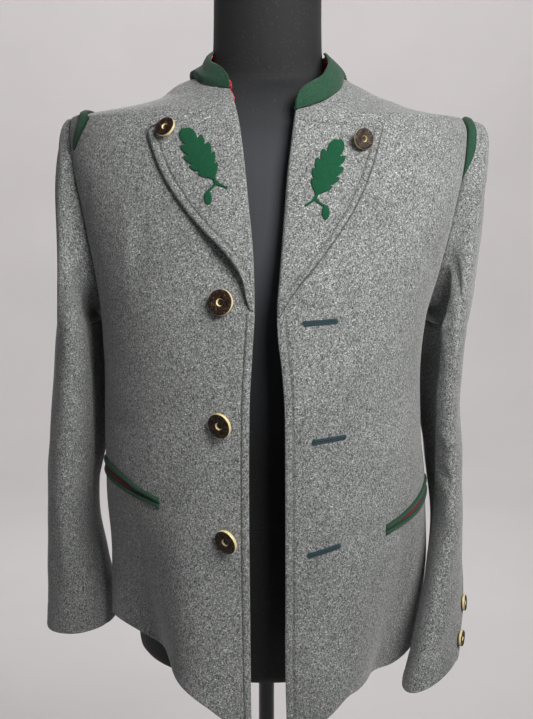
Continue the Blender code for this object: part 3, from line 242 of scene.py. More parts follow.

# %% [markdown]
# ## The camera, the light and the floor
# A lens of 46.6 mm at chest height, about a metre away, looks a little down on the jacket. Large soft
# lamps stand for a shop's bright ceiling: the main one is in front, above and to the right, so the
# wearer's right front falls into a gentle shade. The floor sweeps up into a round pale wall, so there
# is no horizon from any side. Floor and lamps aren't part of the object.

# %% Camera, lamps and floor
def linear(code):
    """A hex colour, as a paint chart gives it, in the linear numbers that a shader takes."""
    parts = [int(code[i:i + 2], 16) / 255 for i in (1, 3, 5)]
    return tuple(p / 12.92 if p <= 0.04045 else ((p + 0.055) / 1.055) ** 2.4 for p in parts) + (1.0,)


def plug(tree, node, sockets):
    """Gives a node's sockets their values, or links from other nodes' outputs."""
    for name, value in dict(sockets).items():
        if isinstance(value, bpy.types.NodeSocket):
            tree.links.new(value, node.inputs[name])
        else:
            node.inputs[name].default_value = value


def add(tree, kind, sockets=(), **settings):
    """Adds a node with its settings, its values and its links."""
    made = tree.nodes.new(kind)
    for name, value in settings.items():
        setattr(made, name, value)
    plug(tree, made, sockets)
    return made


def new_finish(name):
    """A new material, with its tree, its shader and the coordinates that its patterns read."""
    made = bpy.data.materials.new(name)
    made.use_nodes = True
    tree = made.node_tree
    return made, tree, tree.nodes["Principled BSDF"], add(tree, "ShaderNodeTexCoord").outputs["Object"]


# A Mix node has sockets of the same name for each kind of data, so its colour ones go by number.
SHARE, ONE, OTHER, MIXED = 0, 6, 7, 2


scene = bpy.context.scene
scene.view_settings.view_transform = "Standard"
camera = bpy.data.objects.new("camera", bpy.data.cameras.new("camera"))
camera.location = (0.0122479, -1.0607875, 1.37)
camera.rotation_euler = (math.radians(90 - 9.73), 0, 0)
camera.data.lens, camera.data.sensor_width = 46.565, 36
camera.data.clip_start = 0.05
scene.collection.objects.link(camera)
scene.camera = camera


def lamp(name, place, target, size, watts, colour):
    light = bpy.data.lights.new(name, "AREA")
    light.shape, light.size, light.size_y = "RECTANGLE", *size
    light.energy, light.color = watts, linear(colour)[:3]
    made = bpy.data.objects.new(name, light)
    made.location = place
    made.rotation_euler = (Vector(target) - Vector(place)).to_track_quat("-Z", "Y").to_euler()
    made.visible_camera = False
    scene.collection.objects.link(made)


lamp("main_lamp", (0.55, -0.88, 1.88), (0.05, 0, 1.27), (0.6, 0.45), 18.0, "#fffcf8")
lamp("fill_lamp", (-1.9, -1.9, 1.9), (0, 0, 1.35), (1.4, 1.4), 1.2, "#f4f8ff")
lamp("back_lamp", (-0.9, 2.3, 2.7), (0, 0, 1.2), (1.6, 1.2), 14, "#fbfcff")
lamp("wall_lamp", (0, 1.2, 3.6), (0, 5.0, 1.7), (2.6, 1.0), 106, "#fffdfd")
world = bpy.data.worlds.new("studio")
scene.world = world
world.use_nodes = True
plug(world.node_tree, world.node_tree.nodes["Background"], {"Color": linear("#ecedee"), "Strength": 0.13})


def pale_floor():
    """A seamless paper sweep: matte, with the faint mottle that paper has."""
    made, tree, shader, place = new_finish("matt_paper_floor")
    cloud = add(tree, "ShaderNodeTexNoise", {"Vector": place, "Scale": 1.6, "Detail": 3}).outputs["Fac"]
    tone = add(tree, "ShaderNodeMix", {
        SHARE: cloud, ONE: linear("#d4d1d1"), OTHER: linear("#e2dfdf"),
    }, data_type="RGBA").outputs[MIXED]
    plug(tree, shader, {"Base Color": tone, "Roughness": 0.9})
    return made


FLOOR_SIDES = 96
turns = np.linspace(0, 2 * math.pi, FLOOR_SIDES, endpoint=False)
profile = [(1.5, 0.0), (3.0, 0.0)]
profile += [(3.4 + 1.6 * math.sin(a), 1.6 - 1.6 * math.cos(a)) for a in np.linspace(0, math.pi / 2, 14)]
profile += [(5.0, 3.2), (5.0, 5.0)]
floor_points = [(r * math.cos(t), r * math.sin(t), z) for r, z in profile for t in turns]
floor_faces = [
    [k + FLOOR_SIDES + i, k + FLOOR_SIDES + (i + 1) % FLOOR_SIDES, k + (i + 1) % FLOOR_SIDES, k + i]
    for k in range(0, (len(profile) - 1) * FLOOR_SIDES, FLOOR_SIDES) for i in range(FLOOR_SIDES)
]
floor_faces.append(list(range(FLOOR_SIDES)))
floor_mesh = bpy.data.meshes.new("floor")
floor_mesh.from_pydata(floor_points, [], floor_faces)
floor_mesh.shade_smooth()
floor_mesh.materials.append(pale_floor())
floor = bpy.data.objects.new("floor", floor_mesh)
scene.collection.objects.link(floor)
print("camera at", tuple(round(c, 3) for c in camera.location), "lens", camera.data.lens)

# %% [markdown]
# ## Finishes
# Loden is wool that was woven, then shrunk and brushed until the weave is gone. What the eye gets is a
# mix of light and dark fibres and a soft, dull surface. So the colour comes from two noise patterns of
# a little over 1 mm, larger than real fibres so that they show. Two broader ones are the mottle and the
# wear, and a pale sheen is the brushed nap. Felt and thread are the same with finer, weaker patterns.
# All of them read Object coordinates, so no pattern slides.

# %% Wool, felt, jersey and thread
MOTTLE_SIZE, WEAR_SIZE = 0.0045, 0.06
PAINTED_SHADE_STRENGTH = 0.72    # how much darker the colour is where the painted shade is strongest
WAVE_PERIOD = 0.31      # distance between a Wave texture's bands at a scale of 1
PAINTED_LIGHT_FADES = ((1.50, 1.40), (1.06, 1.30))      # heights between which the painted light on the form's chest comes in


def wool(name, dark, body, light, fleck, contrast, sheen, bump, cloud):
    """Brushed wool cloth: dark and light fibres round a body colour, with a soft nap."""
    made, tree, shader, place = new_finish(name)
    # Fibres lie more along the length of the cloth than across it, so the pattern is drawn out.
    drawn = add(tree, "ShaderNodeMapping", {
        "Vector": place, "Rotation": (0.12, 0.22, 0.05), "Scale": (1.0, 1.0, 0.55),
    }).outputs["Vector"]
    crossed = add(tree, "ShaderNodeMapping", {
        "Vector": place, "Location": (3.1, 1.7, 0.4), "Rotation": (0.3, -0.8, 0.5), "Scale": (0.6, 1.1, 1.0),
    }).outputs["Vector"]
    fibre, second, mottle, wear = (
        add(tree, "ShaderNodeTexNoise", {
            "Vector": vector, "Scale": scale, "Detail": detail, "Roughness": roughness,
        }).outputs["Fac"]
        for vector, scale, detail, roughness in (
            (drawn, 1 / fleck, 3.0, 0.65), (crossed, 1.3 / fleck, 2.0, 0.6),
            (place, 1 / MOTTLE_SIZE, 3.0, 0.6), (place, 1 / WEAR_SIZE, 2.0, 0.5),
        )
    )
    spread = 0.16 / contrast
    mix, pale, patch, worn = (
        add(tree, "ShaderNodeMapRange", {
            "Value": value, "From Min": low, "From Max": high, "To Min": least, "To Max": most,
        }).outputs["Result"]
        for value, low, high, least, most in (
            (fibre, 0.5 - spread, 0.5 + spread, 0.0, 1.0),
            (second, 0.56, 0.72, 0.0, min(1.0, 0.8 * contrast)),
            (mottle, 0.3, 0.7, 1 - 0.20 * cloud, 1 + 0.20 * cloud),
            (wear, 0.3, 0.7, 1 - 0.10 * cloud, 1 + 0.10 * cloud),
        )
    )
    ground = add(tree, "ShaderNodeMix", {
        SHARE: mix, ONE: linear(dark), OTHER: linear(body),
    }, data_type="RGBA").outputs[MIXED]
    flecked = add(tree, "ShaderNodeMix", {
        SHARE: pale, ONE: ground, OTHER: linear(light),
    }, data_type="RGBA").outputs[MIXED]
    # Painted shade: a per-point attribute darkens the colour along seams, edges and slits.
    pressed = add(tree, "ShaderNodeAttribute", attribute_name="pressed").outputs["Fac"]
    shade = add(tree, "ShaderNodeMath", {
        0: pressed, 1: -PAINTED_SHADE_STRENGTH, 2: 1.0,
    }, operation="MULTIPLY_ADD").outputs[0]
    clouded = add(tree, "ShaderNodeMath", {0: patch, 1: worn}, operation="MULTIPLY").outputs[0]
    both = add(tree, "ShaderNodeMath", {0: clouded, 1: shade}, operation="MULTIPLY").outputs[0]
    toned = add(tree, "ShaderNodeVectorMath", {0: flecked, "Scale": both}, operation="SCALE").outputs[0]
    height = add(tree, "ShaderNodeMath", {0: fibre, 1: second}, operation="ADD").outputs[0]
    relief = add(tree, "ShaderNodeBump", {"Height": height, "Strength": bump, "Distance": 0.0007})
    plug(tree, shader, {
        "Base Color": toned, "Normal": relief.outputs["Normal"], "Roughness": 0.95,
        "Specular IOR Level": 0.25, "Sheen Weight": sheen, "Sheen Roughness": 0.55,
    })
    return made


def plain_knit(name, body, light, pitch, sheen, roughness, painted_chest_light=None):
    """Jersey: fine ribs of loops that run up and down, and a little lint. When a chest colour is given,
    the black over the chest is painted paler: painted light."""
    made, tree, shader, place = new_finish(name)
    ribs = add(tree, "ShaderNodeTexWave", {
        "Vector": place, "Scale": WAVE_PERIOD / pitch, "Distortion": 1.2, "Detail": 2.0, "Detail Scale": 4.0,
    }, bands_direction="X").outputs["Fac"]
    lint = add(tree, "ShaderNodeTexNoise", {"Vector": place, "Scale": 420, "Detail": 3.0}).outputs["Fac"]
    specks = add(tree, "ShaderNodeMapRange", {
        "Value": lint, "From Min": 0.60, "From Max": 0.78, "To Max": 0.5,
    }).outputs["Result"]
    tone = add(tree, "ShaderNodeMix", {
        SHARE: specks, ONE: linear(body), OTHER: linear(light),
    }, data_type="RGBA").outputs[MIXED]
    # Painted light: a band of heights over the chest takes the paler colour.
    if painted_chest_light:
        level = add(tree, "ShaderNodeSeparateXYZ", {"Vector": place}).outputs["Z"]
        below, above = (
            add(tree, "ShaderNodeMapRange", {
                "Value": level, "From Min": start, "From Max": end,
            }, interpolation_type="SMOOTHSTEP").outputs["Result"]
            for start, end in PAINTED_LIGHT_FADES
        )
        chest = add(tree, "ShaderNodeMath", {0: below, 1: above}, operation="MULTIPLY").outputs[0]
        tone = add(tree, "ShaderNodeMix", {
            SHARE: chest, ONE: tone, OTHER: linear(painted_chest_light),
        }, data_type="RGBA").outputs[MIXED]
    both = add(tree, "ShaderNodeMath", {0: lint, 1: 0.6, 2: ribs}, operation="MULTIPLY_ADD").outputs[0]
    relief = add(tree, "ShaderNodeBump", {"Height": both, "Strength": 0.3, "Distance": 0.0004})
    plug(tree, shader, {
        "Base Color": tone, "Normal": relief.outputs["Normal"], "Roughness": roughness,
        "Sheen Weight": sheen, "Sheen Roughness": 0.4,
    })
    return made


# Grey loden: undyed and dark wool carded together, then fulled and brushed. Dull, flecked mid grey.
LODEN = wool("brushed_grey_loden", "#3f4243", "#8f9393", "#dadede", 0.00135, 1.30, 0.28, 0.25, 0.8)
# Trim felt: dense dyed wool felt, darker than the leaves and with a finer grain.
TRIM_FELT = wool("dark_green_wool_felt", "#1c3a2c", "#26503b", "#476b58", 0.0012, 0.8, 0.12, 0.25, 0.3)
# Leaf felt: thinner and brighter, pressed smooth before it is cut.
LEAF_FELT = wool("bright_green_wool_felt", "#0c4029", "#105035", "#276a4b", 0.0011, 0.6, 0.08, 0.18, 0.3)
# Red felt under the collar, and in the pockets the same red painted deeper: painted shade inside the slits.
RED_FELT = wool("red_wool_felt", "#c8202e", "#ee3642", "#f46c72", 0.0012, 0.6, 0.2, 0.2, 0.3)
POCKET_RED_PAINTED_SHADE = wool("deep_red_pocket_felt", "#4c0f16", "#7c1c28", "#9c4048", 0.0012, 0.8, 0.08, 0.25, 0.5)
# Lining: plain grey-green viscose inside the jacket, which only shows from below and behind.
LINING = plain_knit("grey_viscose_lining", "#4d5552", "#5f6764", 0.0012, 0.1, 0.45)
# Buttonhole silk, twisted: a dark blue-green with a slight shine.
TEAL_THREAD = wool("teal_buttonhole_silk", "#17323a", "#254953", "#41696f", 0.0009, 0.8, 0.3, 0.2, 0.2)
# Grey sewing thread of the edge stitching, a shade darker than the cloth it sinks into.
GREY_THREAD = wool("grey_sewing_thread", "#3e4042", "#505254", "#717375", 0.0008, 0.6, 0.2, 0.2, 0.2)
# Cotton and elastane jersey stretched over the dress form. Its chest is painted paler, as painted light.
JERSEY = plain_knit("black_cotton_jersey", "#141619", "#454952", 0.0011, 0.14, 0.8, painted_chest_light="#33373d")
print("cloth finishes:", [m.name for m in bpy.data.materials])

# %% [markdown]
# Stag horn buttons are slices of antler: the face keeps the brown, grooved bark and the cut sides and
# the middle are ivory. They are polished, so they carry small sharp highlights. The stand is steel tube
# and plate under a satin black lacquer, with faint scuffs.

# %% Horn and lacquered steel
def antler_bark():
    made, tree, shader, place = new_finish("stag_horn_bark")
    grooves = add(tree, "ShaderNodeTexNoise", {
        "Vector": place, "Scale": 1 / 0.0036, "Detail": 4.0, "Roughness": 0.7, "Distortion": 0.6,
    }).outputs["Fac"]
    cells = add(tree, "ShaderNodeTexVoronoi", {"Vector": place, "Scale": 1 / 0.0017}).outputs["Distance"]
    dark = add(tree, "ShaderNodeMapRange", {
        "Value": grooves, "From Min": 0.38, "From Max": 0.64,
    }).outputs["Result"]
    spots = add(tree, "ShaderNodeMapRange", {
        "Value": cells, "From Min": 0.27, "From Max": 0.10, "To Max": 0.85,
    }).outputs["Result"]
    chosen = add(tree, "ShaderNodeMath", {0: spots, 1: dark}, operation="MULTIPLY").outputs[0]
    bark = add(tree, "ShaderNodeMix", {
        SHARE: dark, ONE: linear("#120a06"), OTHER: linear("#382418"),
    }, data_type="RGBA").outputs[MIXED]
    flecked = add(tree, "ShaderNodeMix", {
        SHARE: chosen, ONE: bark, OTHER: linear("#cdbca6"),
    }, data_type="RGBA").outputs[MIXED]
    relief = add(tree, "ShaderNodeBump", {"Height": grooves, "Strength": 1.0, "Distance": 0.0011})
    plug(tree, shader, {
        "Base Color": flecked, "Normal": relief.outputs["Normal"], "Roughness": 0.46,
        "Specular IOR Level": 0.3,
    })
    return made


def antler_core():
    made, tree, shader, place = new_finish("polished_antler_core")
    grain = add(tree, "ShaderNodeTexNoise", {"Vector": place, "Scale": 380, "Detail": 3.0}).outputs["Fac"]
    tone = add(tree, "ShaderNodeMix", {
        SHARE: grain, ONE: linear("#cdb369"), OTHER: linear("#fbf2c6"),
    }, data_type="RGBA").outputs[MIXED]
    plug(tree, shader, {"Base Color": tone, "Roughness": 0.32})
    return made


def lacquered_steel():
    made, tree, shader, place = new_finish("black_lacquered_steel")
    brushed = add(tree, "ShaderNodeMapping", {
        "Vector": place, "Scale": (1.0, 1.0, 0.15),
    }).outputs["Vector"]
    scuffs = add(tree, "ShaderNodeTexNoise", {"Vector": brushed, "Scale": 90, "Detail": 4.0}).outputs["Fac"]
    rough = add(tree, "ShaderNodeMapRange", {"Value": scuffs, "To Min": 0.28, "To Max": 0.46})
    tone = add(tree, "ShaderNodeMix", {
        SHARE: scuffs, ONE: linear("#191a1c"), OTHER: linear("#2b2c2f"),
    }, data_type="RGBA").outputs[MIXED]
    plug(tree, shader, {
        "Base Color": tone, "Roughness": rough.outputs["Result"], "Coat Weight": 0.3, "Coat Roughness": 0.2,
    })
    return made


BARK, CORE, STEEL = antler_bark(), antler_core(), lacquered_steel()

# %% [markdown]
# ## Curves read from the tables
# A table gives a few heights only. A monotone cubic runs through its rows without bulging between
# them, so the cloth is as smooth as cloth, however many rows the mesh gets.

# %% Reading the tables and the jacket's skin
def smooth_read(table, column, at):
    rows = np.array(table, float)
    x, y = rows[:, 0], rows[:, column]
    step = np.diff(x)
    slope = np.diff(y) / step
    total, product = slope[:-1] + slope[1:], slope[:-1] * slope[1:]
    inner = np.where(product > 0, 2 * product / np.where(total == 0, 1, total), 0.0)
    tangent = np.concatenate([[slope[0]], inner, [slope[-1]]])
    at = np.clip(np.asarray(at, float), x[0], x[-1])
    i = np.clip(np.searchsorted(x, at) - 1, 0, len(step) - 1)
    t, h = (at - x[i]) / step[i], step[i]
    return (
        (2 * t**3 - 3 * t**2 + 1) * y[i] + (t**3 - 2 * t**2 + t) * h * tangent[i]
        + (-2 * t**3 + 3 * t**2) * y[i + 1] + (t**3 - t**2) * h * tangent[i + 1]
    )


def ease(t):
    t = np.clip(t, 0.0, 1.0)
    return t * t * (3 - 2 * t)


def bell(distance, width):
    """1 where the distance is 0, and almost gone two widths away."""
    return np.exp(-((distance / width) ** 2))


def unit(vectors):
    return vectors / np.maximum(np.linalg.norm(vectors, axis=-1, keepdims=True), 1e-12)


def run_along(points):
    """The distance along a line of points, at each of them."""
    return np.concatenate([[0], np.cumsum(np.linalg.norm(np.diff(points, axis=0), axis=1))])


def resample(points, count):
    points = np.asarray(points, float)
    along = run_along(points)
    at = np.linspace(0, along[-1], count)
    return np.stack([np.interp(at, along, points[:, k]) for k in range(points.shape[1])], axis=1)


def ring_point(rings, side, angle, height):
    """A point on a family of level rings, with the plan direction that points outwards there."""
    half_width = smooth_read(rings, WIDTH_COLUMN[side], height)
    front, back, centre, square = (smooth_read(rings, RINGS.index(name), height) for name in RINGS[3:])
    turn = np.radians(angle)
    sine, cosine = np.abs(np.sin(turn)), np.cos(turn)
    x = side * half_width * sine ** (2 / square)
    depth = np.where(cosine > 0, front, back) * np.abs(cosine) ** (2 / square)
    y = centre - np.sign(cosine) * depth
    outwards = np.stack([side * np.sin(turn), -cosine, 0 * cosine], axis=-1)
    return np.stack(np.broadcast_arrays(x, y, height), axis=-1), outwards


# %% [markdown]
# ## Creases
# The large folds come with the skin. Loden is thick, so its creases are few, long and shallow. Each row
# of the tables below is one crease: its two ends, its half width and its depth, all different. Where it
# runs is measured as an arc in metres from the centre front, and a height.

# %% Large folds and listed creases
PANEL_CREASES = {       # arc and height of both ends, half width, push
    RIGHT: (
        (0.085, 1.370, 0.105, 1.270, 0.010, -0.0014), (0.100, 1.375, 0.125, 1.255, 0.012, 0.0013),
        (0.150, 1.400, 0.190, 1.330, 0.009, -0.0015), (0.165, 1.310, 0.200, 1.255, 0.008, -0.0016),
        (0.120, 1.235, 0.215, 1.205, 0.013, 0.0012), (0.045, 1.190, 0.120, 1.165, 0.016, 0.0010),
        (0.030, 1.245, 0.075, 1.215, 0.010, -0.0010), (0.110, 1.140, 0.220, 1.130, 0.014, -0.0014),
        (0.080, 1.100, 0.160, 1.040, 0.012, 0.0012), (0.130, 1.045, 0.142, 0.900, 0.012, -0.0018),
        (0.060, 1.000, 0.066, 0.860, 0.018, 0.0014), (0.300, 1.400, 0.345, 1.300, 0.012, -0.0015),
        (0.330, 1.230, 0.430, 1.190, 0.014, 0.0014), (0.340, 1.130, 0.450, 1.120, 0.012, -0.0016),
        (0.350, 1.050, 0.360, 0.890, 0.016, -0.0020), (0.415, 1.030, 0.410, 0.880, 0.018, 0.0018),
    ),
    LEFT: (
        (0.075, 1.385, 0.110, 1.300, 0.012, 0.0011), (0.150, 1.395, 0.178, 1.335, 0.008, -0.0014),
        (0.140, 1.330, 0.200, 1.262, 0.010, -0.0017), (0.120, 1.300, 0.170, 1.235, 0.012, 0.0012),
        (0.100, 1.215, 0.205, 1.190, 0.012, -0.0012), (0.040, 1.205, 0.120, 1.160, 0.016, 0.0012),
        (0.120, 1.150, 0.215, 1.128, 0.011, 0.0013), (0.055, 1.090, 0.130, 1.040, 0.014, -0.0011),
        (0.150, 1.030, 0.150, 0.890, 0.012, -0.0019), (0.075, 0.980, 0.080, 0.850, 0.016, 0.0013),
        (0.310, 1.385, 0.350, 1.270, 0.011, -0.0014), (0.320, 1.205, 0.425, 1.170, 0.013, 0.0013),
        (0.335, 1.120, 0.430, 1.095, 0.012, -0.0014), (0.345, 1.060, 0.352, 0.885, 0.015, -0.0018),
        (0.405, 1.040, 0.412, 0.880, 0.020, 0.0016),
    ),
}


def crease_push(creases, across, height):
    """The creases' sum at each place. Each is deepest just before its middle and dies out at its ends."""
    push = 0.0 * across
    for a0, h0, a1, h1, half, depth in creases:
        run = math.hypot(a1 - a0, h1 - h0)
        along = ((across - a0) * (a1 - a0) + (height - h0) * (h1 - h0)) / run
        aside = ((across - a0) * (h1 - h0) - (height - h0) * (a1 - a0)) / run
        share = np.clip(along / run, 0, 1)
        ends = np.sin(np.pi * share**0.8) ** 1.2 * (np.abs(share - 0.5) < 0.5)
        push = push + depth * ends * bell(aside, half) * (1 - 0.35 * (aside / half) ** 2)
    return push


def unevenness(u, v, seed, size):
    """Slow hand-made-looking waves: a few plane waves in fixed, uneven directions."""
    pick = np.random.default_rng(seed)
    total = 0.0 * u
    for _ in range(7):
        turn, wave, shift = pick.uniform(0, 2 * np.pi), pick.uniform(0.5, 1.6) / size, pick.uniform(0, 6.28)
        total = total + np.sin(2 * np.pi * wave * (u * np.cos(turn) + v * np.sin(turn)) + shift)
    return total / 7


def skin(side, angle, height, plain=False):
    """The jacket's outer face: rings, large folds and creases."""
    angle, height = np.broadcast_arrays(np.asarray(angle, float), np.asarray(height, float))
    point, outwards = ring_point(JACKET_RINGS, side, angle, height)
    push = 0.0
    for fold_side, centre, half, depth, top, fade in FOLDS:
        if fold_side == side:
            over = 0.5 + 0.5 * np.cos(np.pi * np.clip((angle - centre) / half, -1, 1))
            push = push + depth * over * np.clip((top - height) / (top - HEM_LEVEL), 0, 1.15) ** fade
    if not plain:
        arc = angle * ARC_PER_DEGREE
        calm = ease((angle - 4) / 14) * (0.35 + 0.65 * ease((1.455 - height) / 0.05))
        waves = 0.0011 * unevenness(arc, height, 7 + side, 0.12)
        push = push + calm * (crease_push(PANEL_CREASES[side], arc, height) + waves)
    return point + outwards * (push + 0.0 * angle)[..., None]


def skin_normal(side, angle, height, plain=False):
    turn, rise = 0.25, 0.0015
    across = skin(side, angle + turn, height, plain) - skin(side, angle - turn, height, plain)
    up = skin(side, angle, height + rise, plain) - skin(side, angle, height - rise, plain)
    return unit(side * np.cross(across, up))


def lifted(side, angle, height, lift):
    return skin(side, angle, height) + skin_normal(side, angle, height) * np.asarray(lift)[..., None]


def angle_at(side, from_middle, height):
    half_width = smooth_read(JACKET_RINGS, WIDTH_COLUMN[side], height)
    square = smooth_read(JACKET_RINGS, RINGS.index("squareness"), height)
    return np.degrees(np.arcsin(np.clip(np.asarray(from_middle) / half_width, 0, 1) ** (square / 2)))


def on_front(side, from_middle, height, lift):
    return lifted(side, angle_at(side, from_middle, height), height, lift)


def front_inner_angle(side, height):
    return angle_at(side, smooth_read(FRONT_EDGE[side], 1, height), height)


def armhole_angle(part, height):
    middle, half = (UNDERARM + SHOULDER_TIP) / 2, (SHOULDER_TIP - UNDERARM) / 2
    return ARMHOLE_ANGLE[part] * np.sqrt(np.clip(1 - ((height - middle) / half) ** 2, 0, 1)) - ARMHOLE_OVERLAP


def panel_heights(below, armhole, above):
    turn = np.linspace(0, np.pi, armhole + 1)
    return np.concatenate([
        HEM_LEVEL + (UNDERARM - HEM_LEVEL) * np.linspace(0, 1, below + 1)[:-1] ** 1.25,
        UNDERARM + (SHOULDER_TIP - UNDERARM) * (1 - np.cos(turn)) / 2,
        SHOULDER_TIP + (NECK_SIDE - SHOULDER_TIP) * np.linspace(0, 1, above + 1)[1:] ** 1.35,
    ])


def hem_shift(side, angle, height):
    return (smooth_read(HEM[side], 1, angle) - HEM_LEVEL) * (1 - ease((height - HEM_LEVEL) / HEM_BLEND))


print("creases on the fronts and back:", sum(len(rows) for rows in PANEL_CREASES.values()))

# %% [markdown]
# ## A cloth shell
# A sheet of cloth is a grid of points for its outer face, the same grid moved in by the cloth's
# thickness, and a rounded edge all round, as a turned and pressed edge has. Making it as one closed
# shell keeps the edges in the same mesh. The inner face can take another finish, such as a lining.

# %% Meshes and cloth shells
pieces = []


def piece_of(name, mesh):
    """A mesh as a piece at the origin, riding on the body."""
    made = bpy.data.objects.new(name, mesh)
    scene.collection.objects.link(made)
    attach(made, "root")
    pieces.append(made)
    return made


def mesh_piece(name, points, faces, materials, which=None, pressed=None):
    """A closed piece, its place in its points."""
    mesh = bpy.data.meshes.new(name)
    mesh.from_pydata([tuple(map(float, p)) for p in np.asarray(points) - PLAN_MIDDLE], [], faces)
    for made in materials:
        mesh.materials.append(made)
    if which is not None:
        mesh.polygons.foreach_set("material_index", which)
    work = bmesh.new()
    work.from_mesh(mesh)
    bmesh.ops.recalc_face_normals(work, faces=work.faces)
    work.to_mesh(mesh)
    work.free()
    mesh.shade_smooth()
    if pressed is not None:
        mesh.attributes.new("pressed", "FLOAT", "POINT").data.foreach_set("value", np.asarray(pressed, float))
    return piece_of(name, mesh)


def ring_faces(rings, steps):
    """The faces between each ring of points and the next. A ring of one point is a pole."""
    faces = []
    for low, high in zip(rings, rings[1:]):
        for i in range(steps):
            j = (i + 1) % steps
            corners = [low[i % len(low)], low[j % len(low)], high[j % len(high)], high[i % len(high)]]
            faces.append(list(dict.fromkeys(corners)))
    return faces


def grid_normals(grid, reference, tube=False):
    """The grid's normals, turned to the side of the reference directions."""
    if tube:
        across = np.roll(grid, -1, axis=1) - np.roll(grid, 1, axis=1)
    else:
        across = np.gradient(grid, axis=1)
    normal = unit(np.cross(np.gradient(grid, axis=0), across))
    return normal * np.sign(np.sum(normal * reference, axis=(0, 1, 2)))


def shell(name, outer, normal, cloth, materials, tube=False, arc=5, lining_from=None,
          pressed=0.0, rim_painted_shade=0.0):
    """A cloth shell. lining_from marks the columns and rows, counted in, whose inner face is lined.
    The last two arguments say how much painted shade darkens the outer face and the turned edge."""
    rows, columns = outer.shape[:2]
    cloth = np.broadcast_to(np.asarray(cloth, float), (rows, columns))
    count = rows * columns

    def at(row, column):
        return row * columns + column % columns

    if tube:
        rims = [[(0, c) for c in range(columns)], [(rows - 1, c) for c in range(columns)][::-1]]
    else:
        rims = [[(0, c) for c in range(columns - 1)] + [(r, columns - 1) for r in range(rows - 1)]
                + [(rows - 1, c) for c in range(columns - 1, 0, -1)]
                + [(r, 0) for r in range(rows - 1, 0, -1)]]
    outer = outer.copy()
    middle = outer - normal * cloth[..., None] / 2
    arcs = []
    for rim in rims:
        r, c = np.array(rim).T
        line, out = outer[r, c], normal[r, c]
        along = unit(np.roll(line, -1, axis=0) - np.roll(line, 1, axis=0))
        away = unit(np.cross(along, out))
        inside_r = np.clip(r, 1, rows - 2)
        inside_c = c if tube else np.clip(c, 1, columns - 2)
        inward = outer[inside_r, inside_c] - line
        away *= -np.sign(np.sum(away * inward))
        half = cloth[r, c][:, None] / 2
        middle[r, c] -= away * half
        arcs.append([middle[r, c] + half * (math.cos(t) * out + math.sin(t) * away)
                     for t in np.linspace(0, math.pi, arc + 2)[1:-1]])
    top = middle + normal * cloth[..., None] / 2
    under = middle - normal * cloth[..., None] / 2
    points = [top.reshape(-1, 3), under.reshape(-1, 3)]
    pressed = np.broadcast_to(np.asarray(pressed, float), (rows, columns))
    shades = [pressed.ravel(), np.zeros(count)]
    faces, which = [], []
    for row in range(rows - 1):
        for column in range(columns if tube else columns - 1):
            quad = [at(row, column), at(row, column + 1), at(row + 1, column + 1), at(row + 1, column)]
            faces += [quad, [count + k for k in reversed(quad)]]
            lined = lining_from and lining_from[0] <= column < columns - 1 and row >= lining_from[1]
            which += [0, 1 if lined else 0]
    base = 2 * count
    for rim, curve in zip(rims, arcs):
        size = len(rim)
        layers = [[at(*p) for p in rim]]
        layers += [list(range(base + k * size, base + (k + 1) * size)) for k in range(arc)]
        layers.append([count + at(*p) for p in rim])
        points += curve
        r, c = np.array(rim).T
        shades += [np.maximum(pressed[r, c], rim_painted_shade * min(1.0, (k + 1) / 2)) for k in range(arc)]
        base += arc * size
        for one, two in zip(layers, layers[1:]):
            for i in range(size):
                j = (i + 1) % size
                faces.append([one[j], one[i], two[i], two[j]])
                which.append(0)
    return mesh_piece(name, np.concatenate(points), faces, materials, which, np.concatenate(shades))


def cut_of(grid, tube=False):
    """(width, length) of the flat cut and its area, measured on the outer face, in metres."""
    closed = np.concatenate([grid, grid[:, :1]], axis=1) if tube else grid
    side_a = closed[1:, 1:] - closed[:-1, :-1]
    side_b = closed[1:, :-1] - closed[:-1, 1:]
    area = float(np.linalg.norm(np.cross(side_a, side_b), axis=2).sum() / 2)
    width = float(np.linalg.norm(np.diff(closed, axis=1), axis=2).sum(axis=1).max())
    length = float(np.linalg.norm(np.diff(closed, axis=0), axis=2).sum(axis=0).max())
    return width, length, area


cuts = {}


def declare(made, node, grid, tube=False):
    """Puts a cloth piece in its solid's place and states the cut that it was made from."""
    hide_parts(node)
    width, length, _ = cut_of(grid, tube)
    area = sum(face.area for face in made.data.polygons) / 2
    cuts[made.name] = (round(width, 3), round(length, 3), round(area, 4))


STITCH_LINE = 0.0085     # how far the line of stitches runs from an edge


def edge_line(distance):
    """Relief near a stitched edge: a fuller rim, then the groove that the stitches pull in."""
    rim = 0.0005 * np.sin(np.pi * np.clip(distance / STITCH_LINE, 0, 1)) ** 0.7
    return rim - 0.0011 * bell(distance - STITCH_LINE, 0.0012)


def stitched(distance):
    """Painted shade along the groove that a line of stitches pulls in."""
    return 0.34 * bell(distance - STITCH_LINE, 0.0014)


def along_rows(grid, from_end=False):
    steps = np.linalg.norm(np.diff(grid, axis=1), axis=2)
    if from_end:
        steps = steps[:, ::-1]
    run = np.concatenate([np.zeros((len(grid), 1)), np.cumsum(steps, axis=1)], axis=1)
    return run[:, ::-1] if from_end else run


def along_columns(grid, from_end=False):
    return along_rows(np.swapaxes(grid, 0, 1), from_end).T


# %% [markdown]
# ## The fronts and the back
# Each front is one length of loden from the hem to the shoulder. Its columns crowd together near the
# front edge, so the stitched rim and its groove have room. Under the lapel the edge steps back, because
# there the cloth rolls over and the lapel covers it.

# %% The fronts
SEAM_DIP, SEAM_LINE = 0.0045, 0.0022        # half widths of a seam's valley and of its pressed line
EDGE_STEPS = np.array([0, 2.4, 3.8, 5.0, 6.0, 6.8, 7.4, 8.0, 8.5, 9.0, 9.6, 10.4, 11.6, 13.4, 16.0]) / 1000


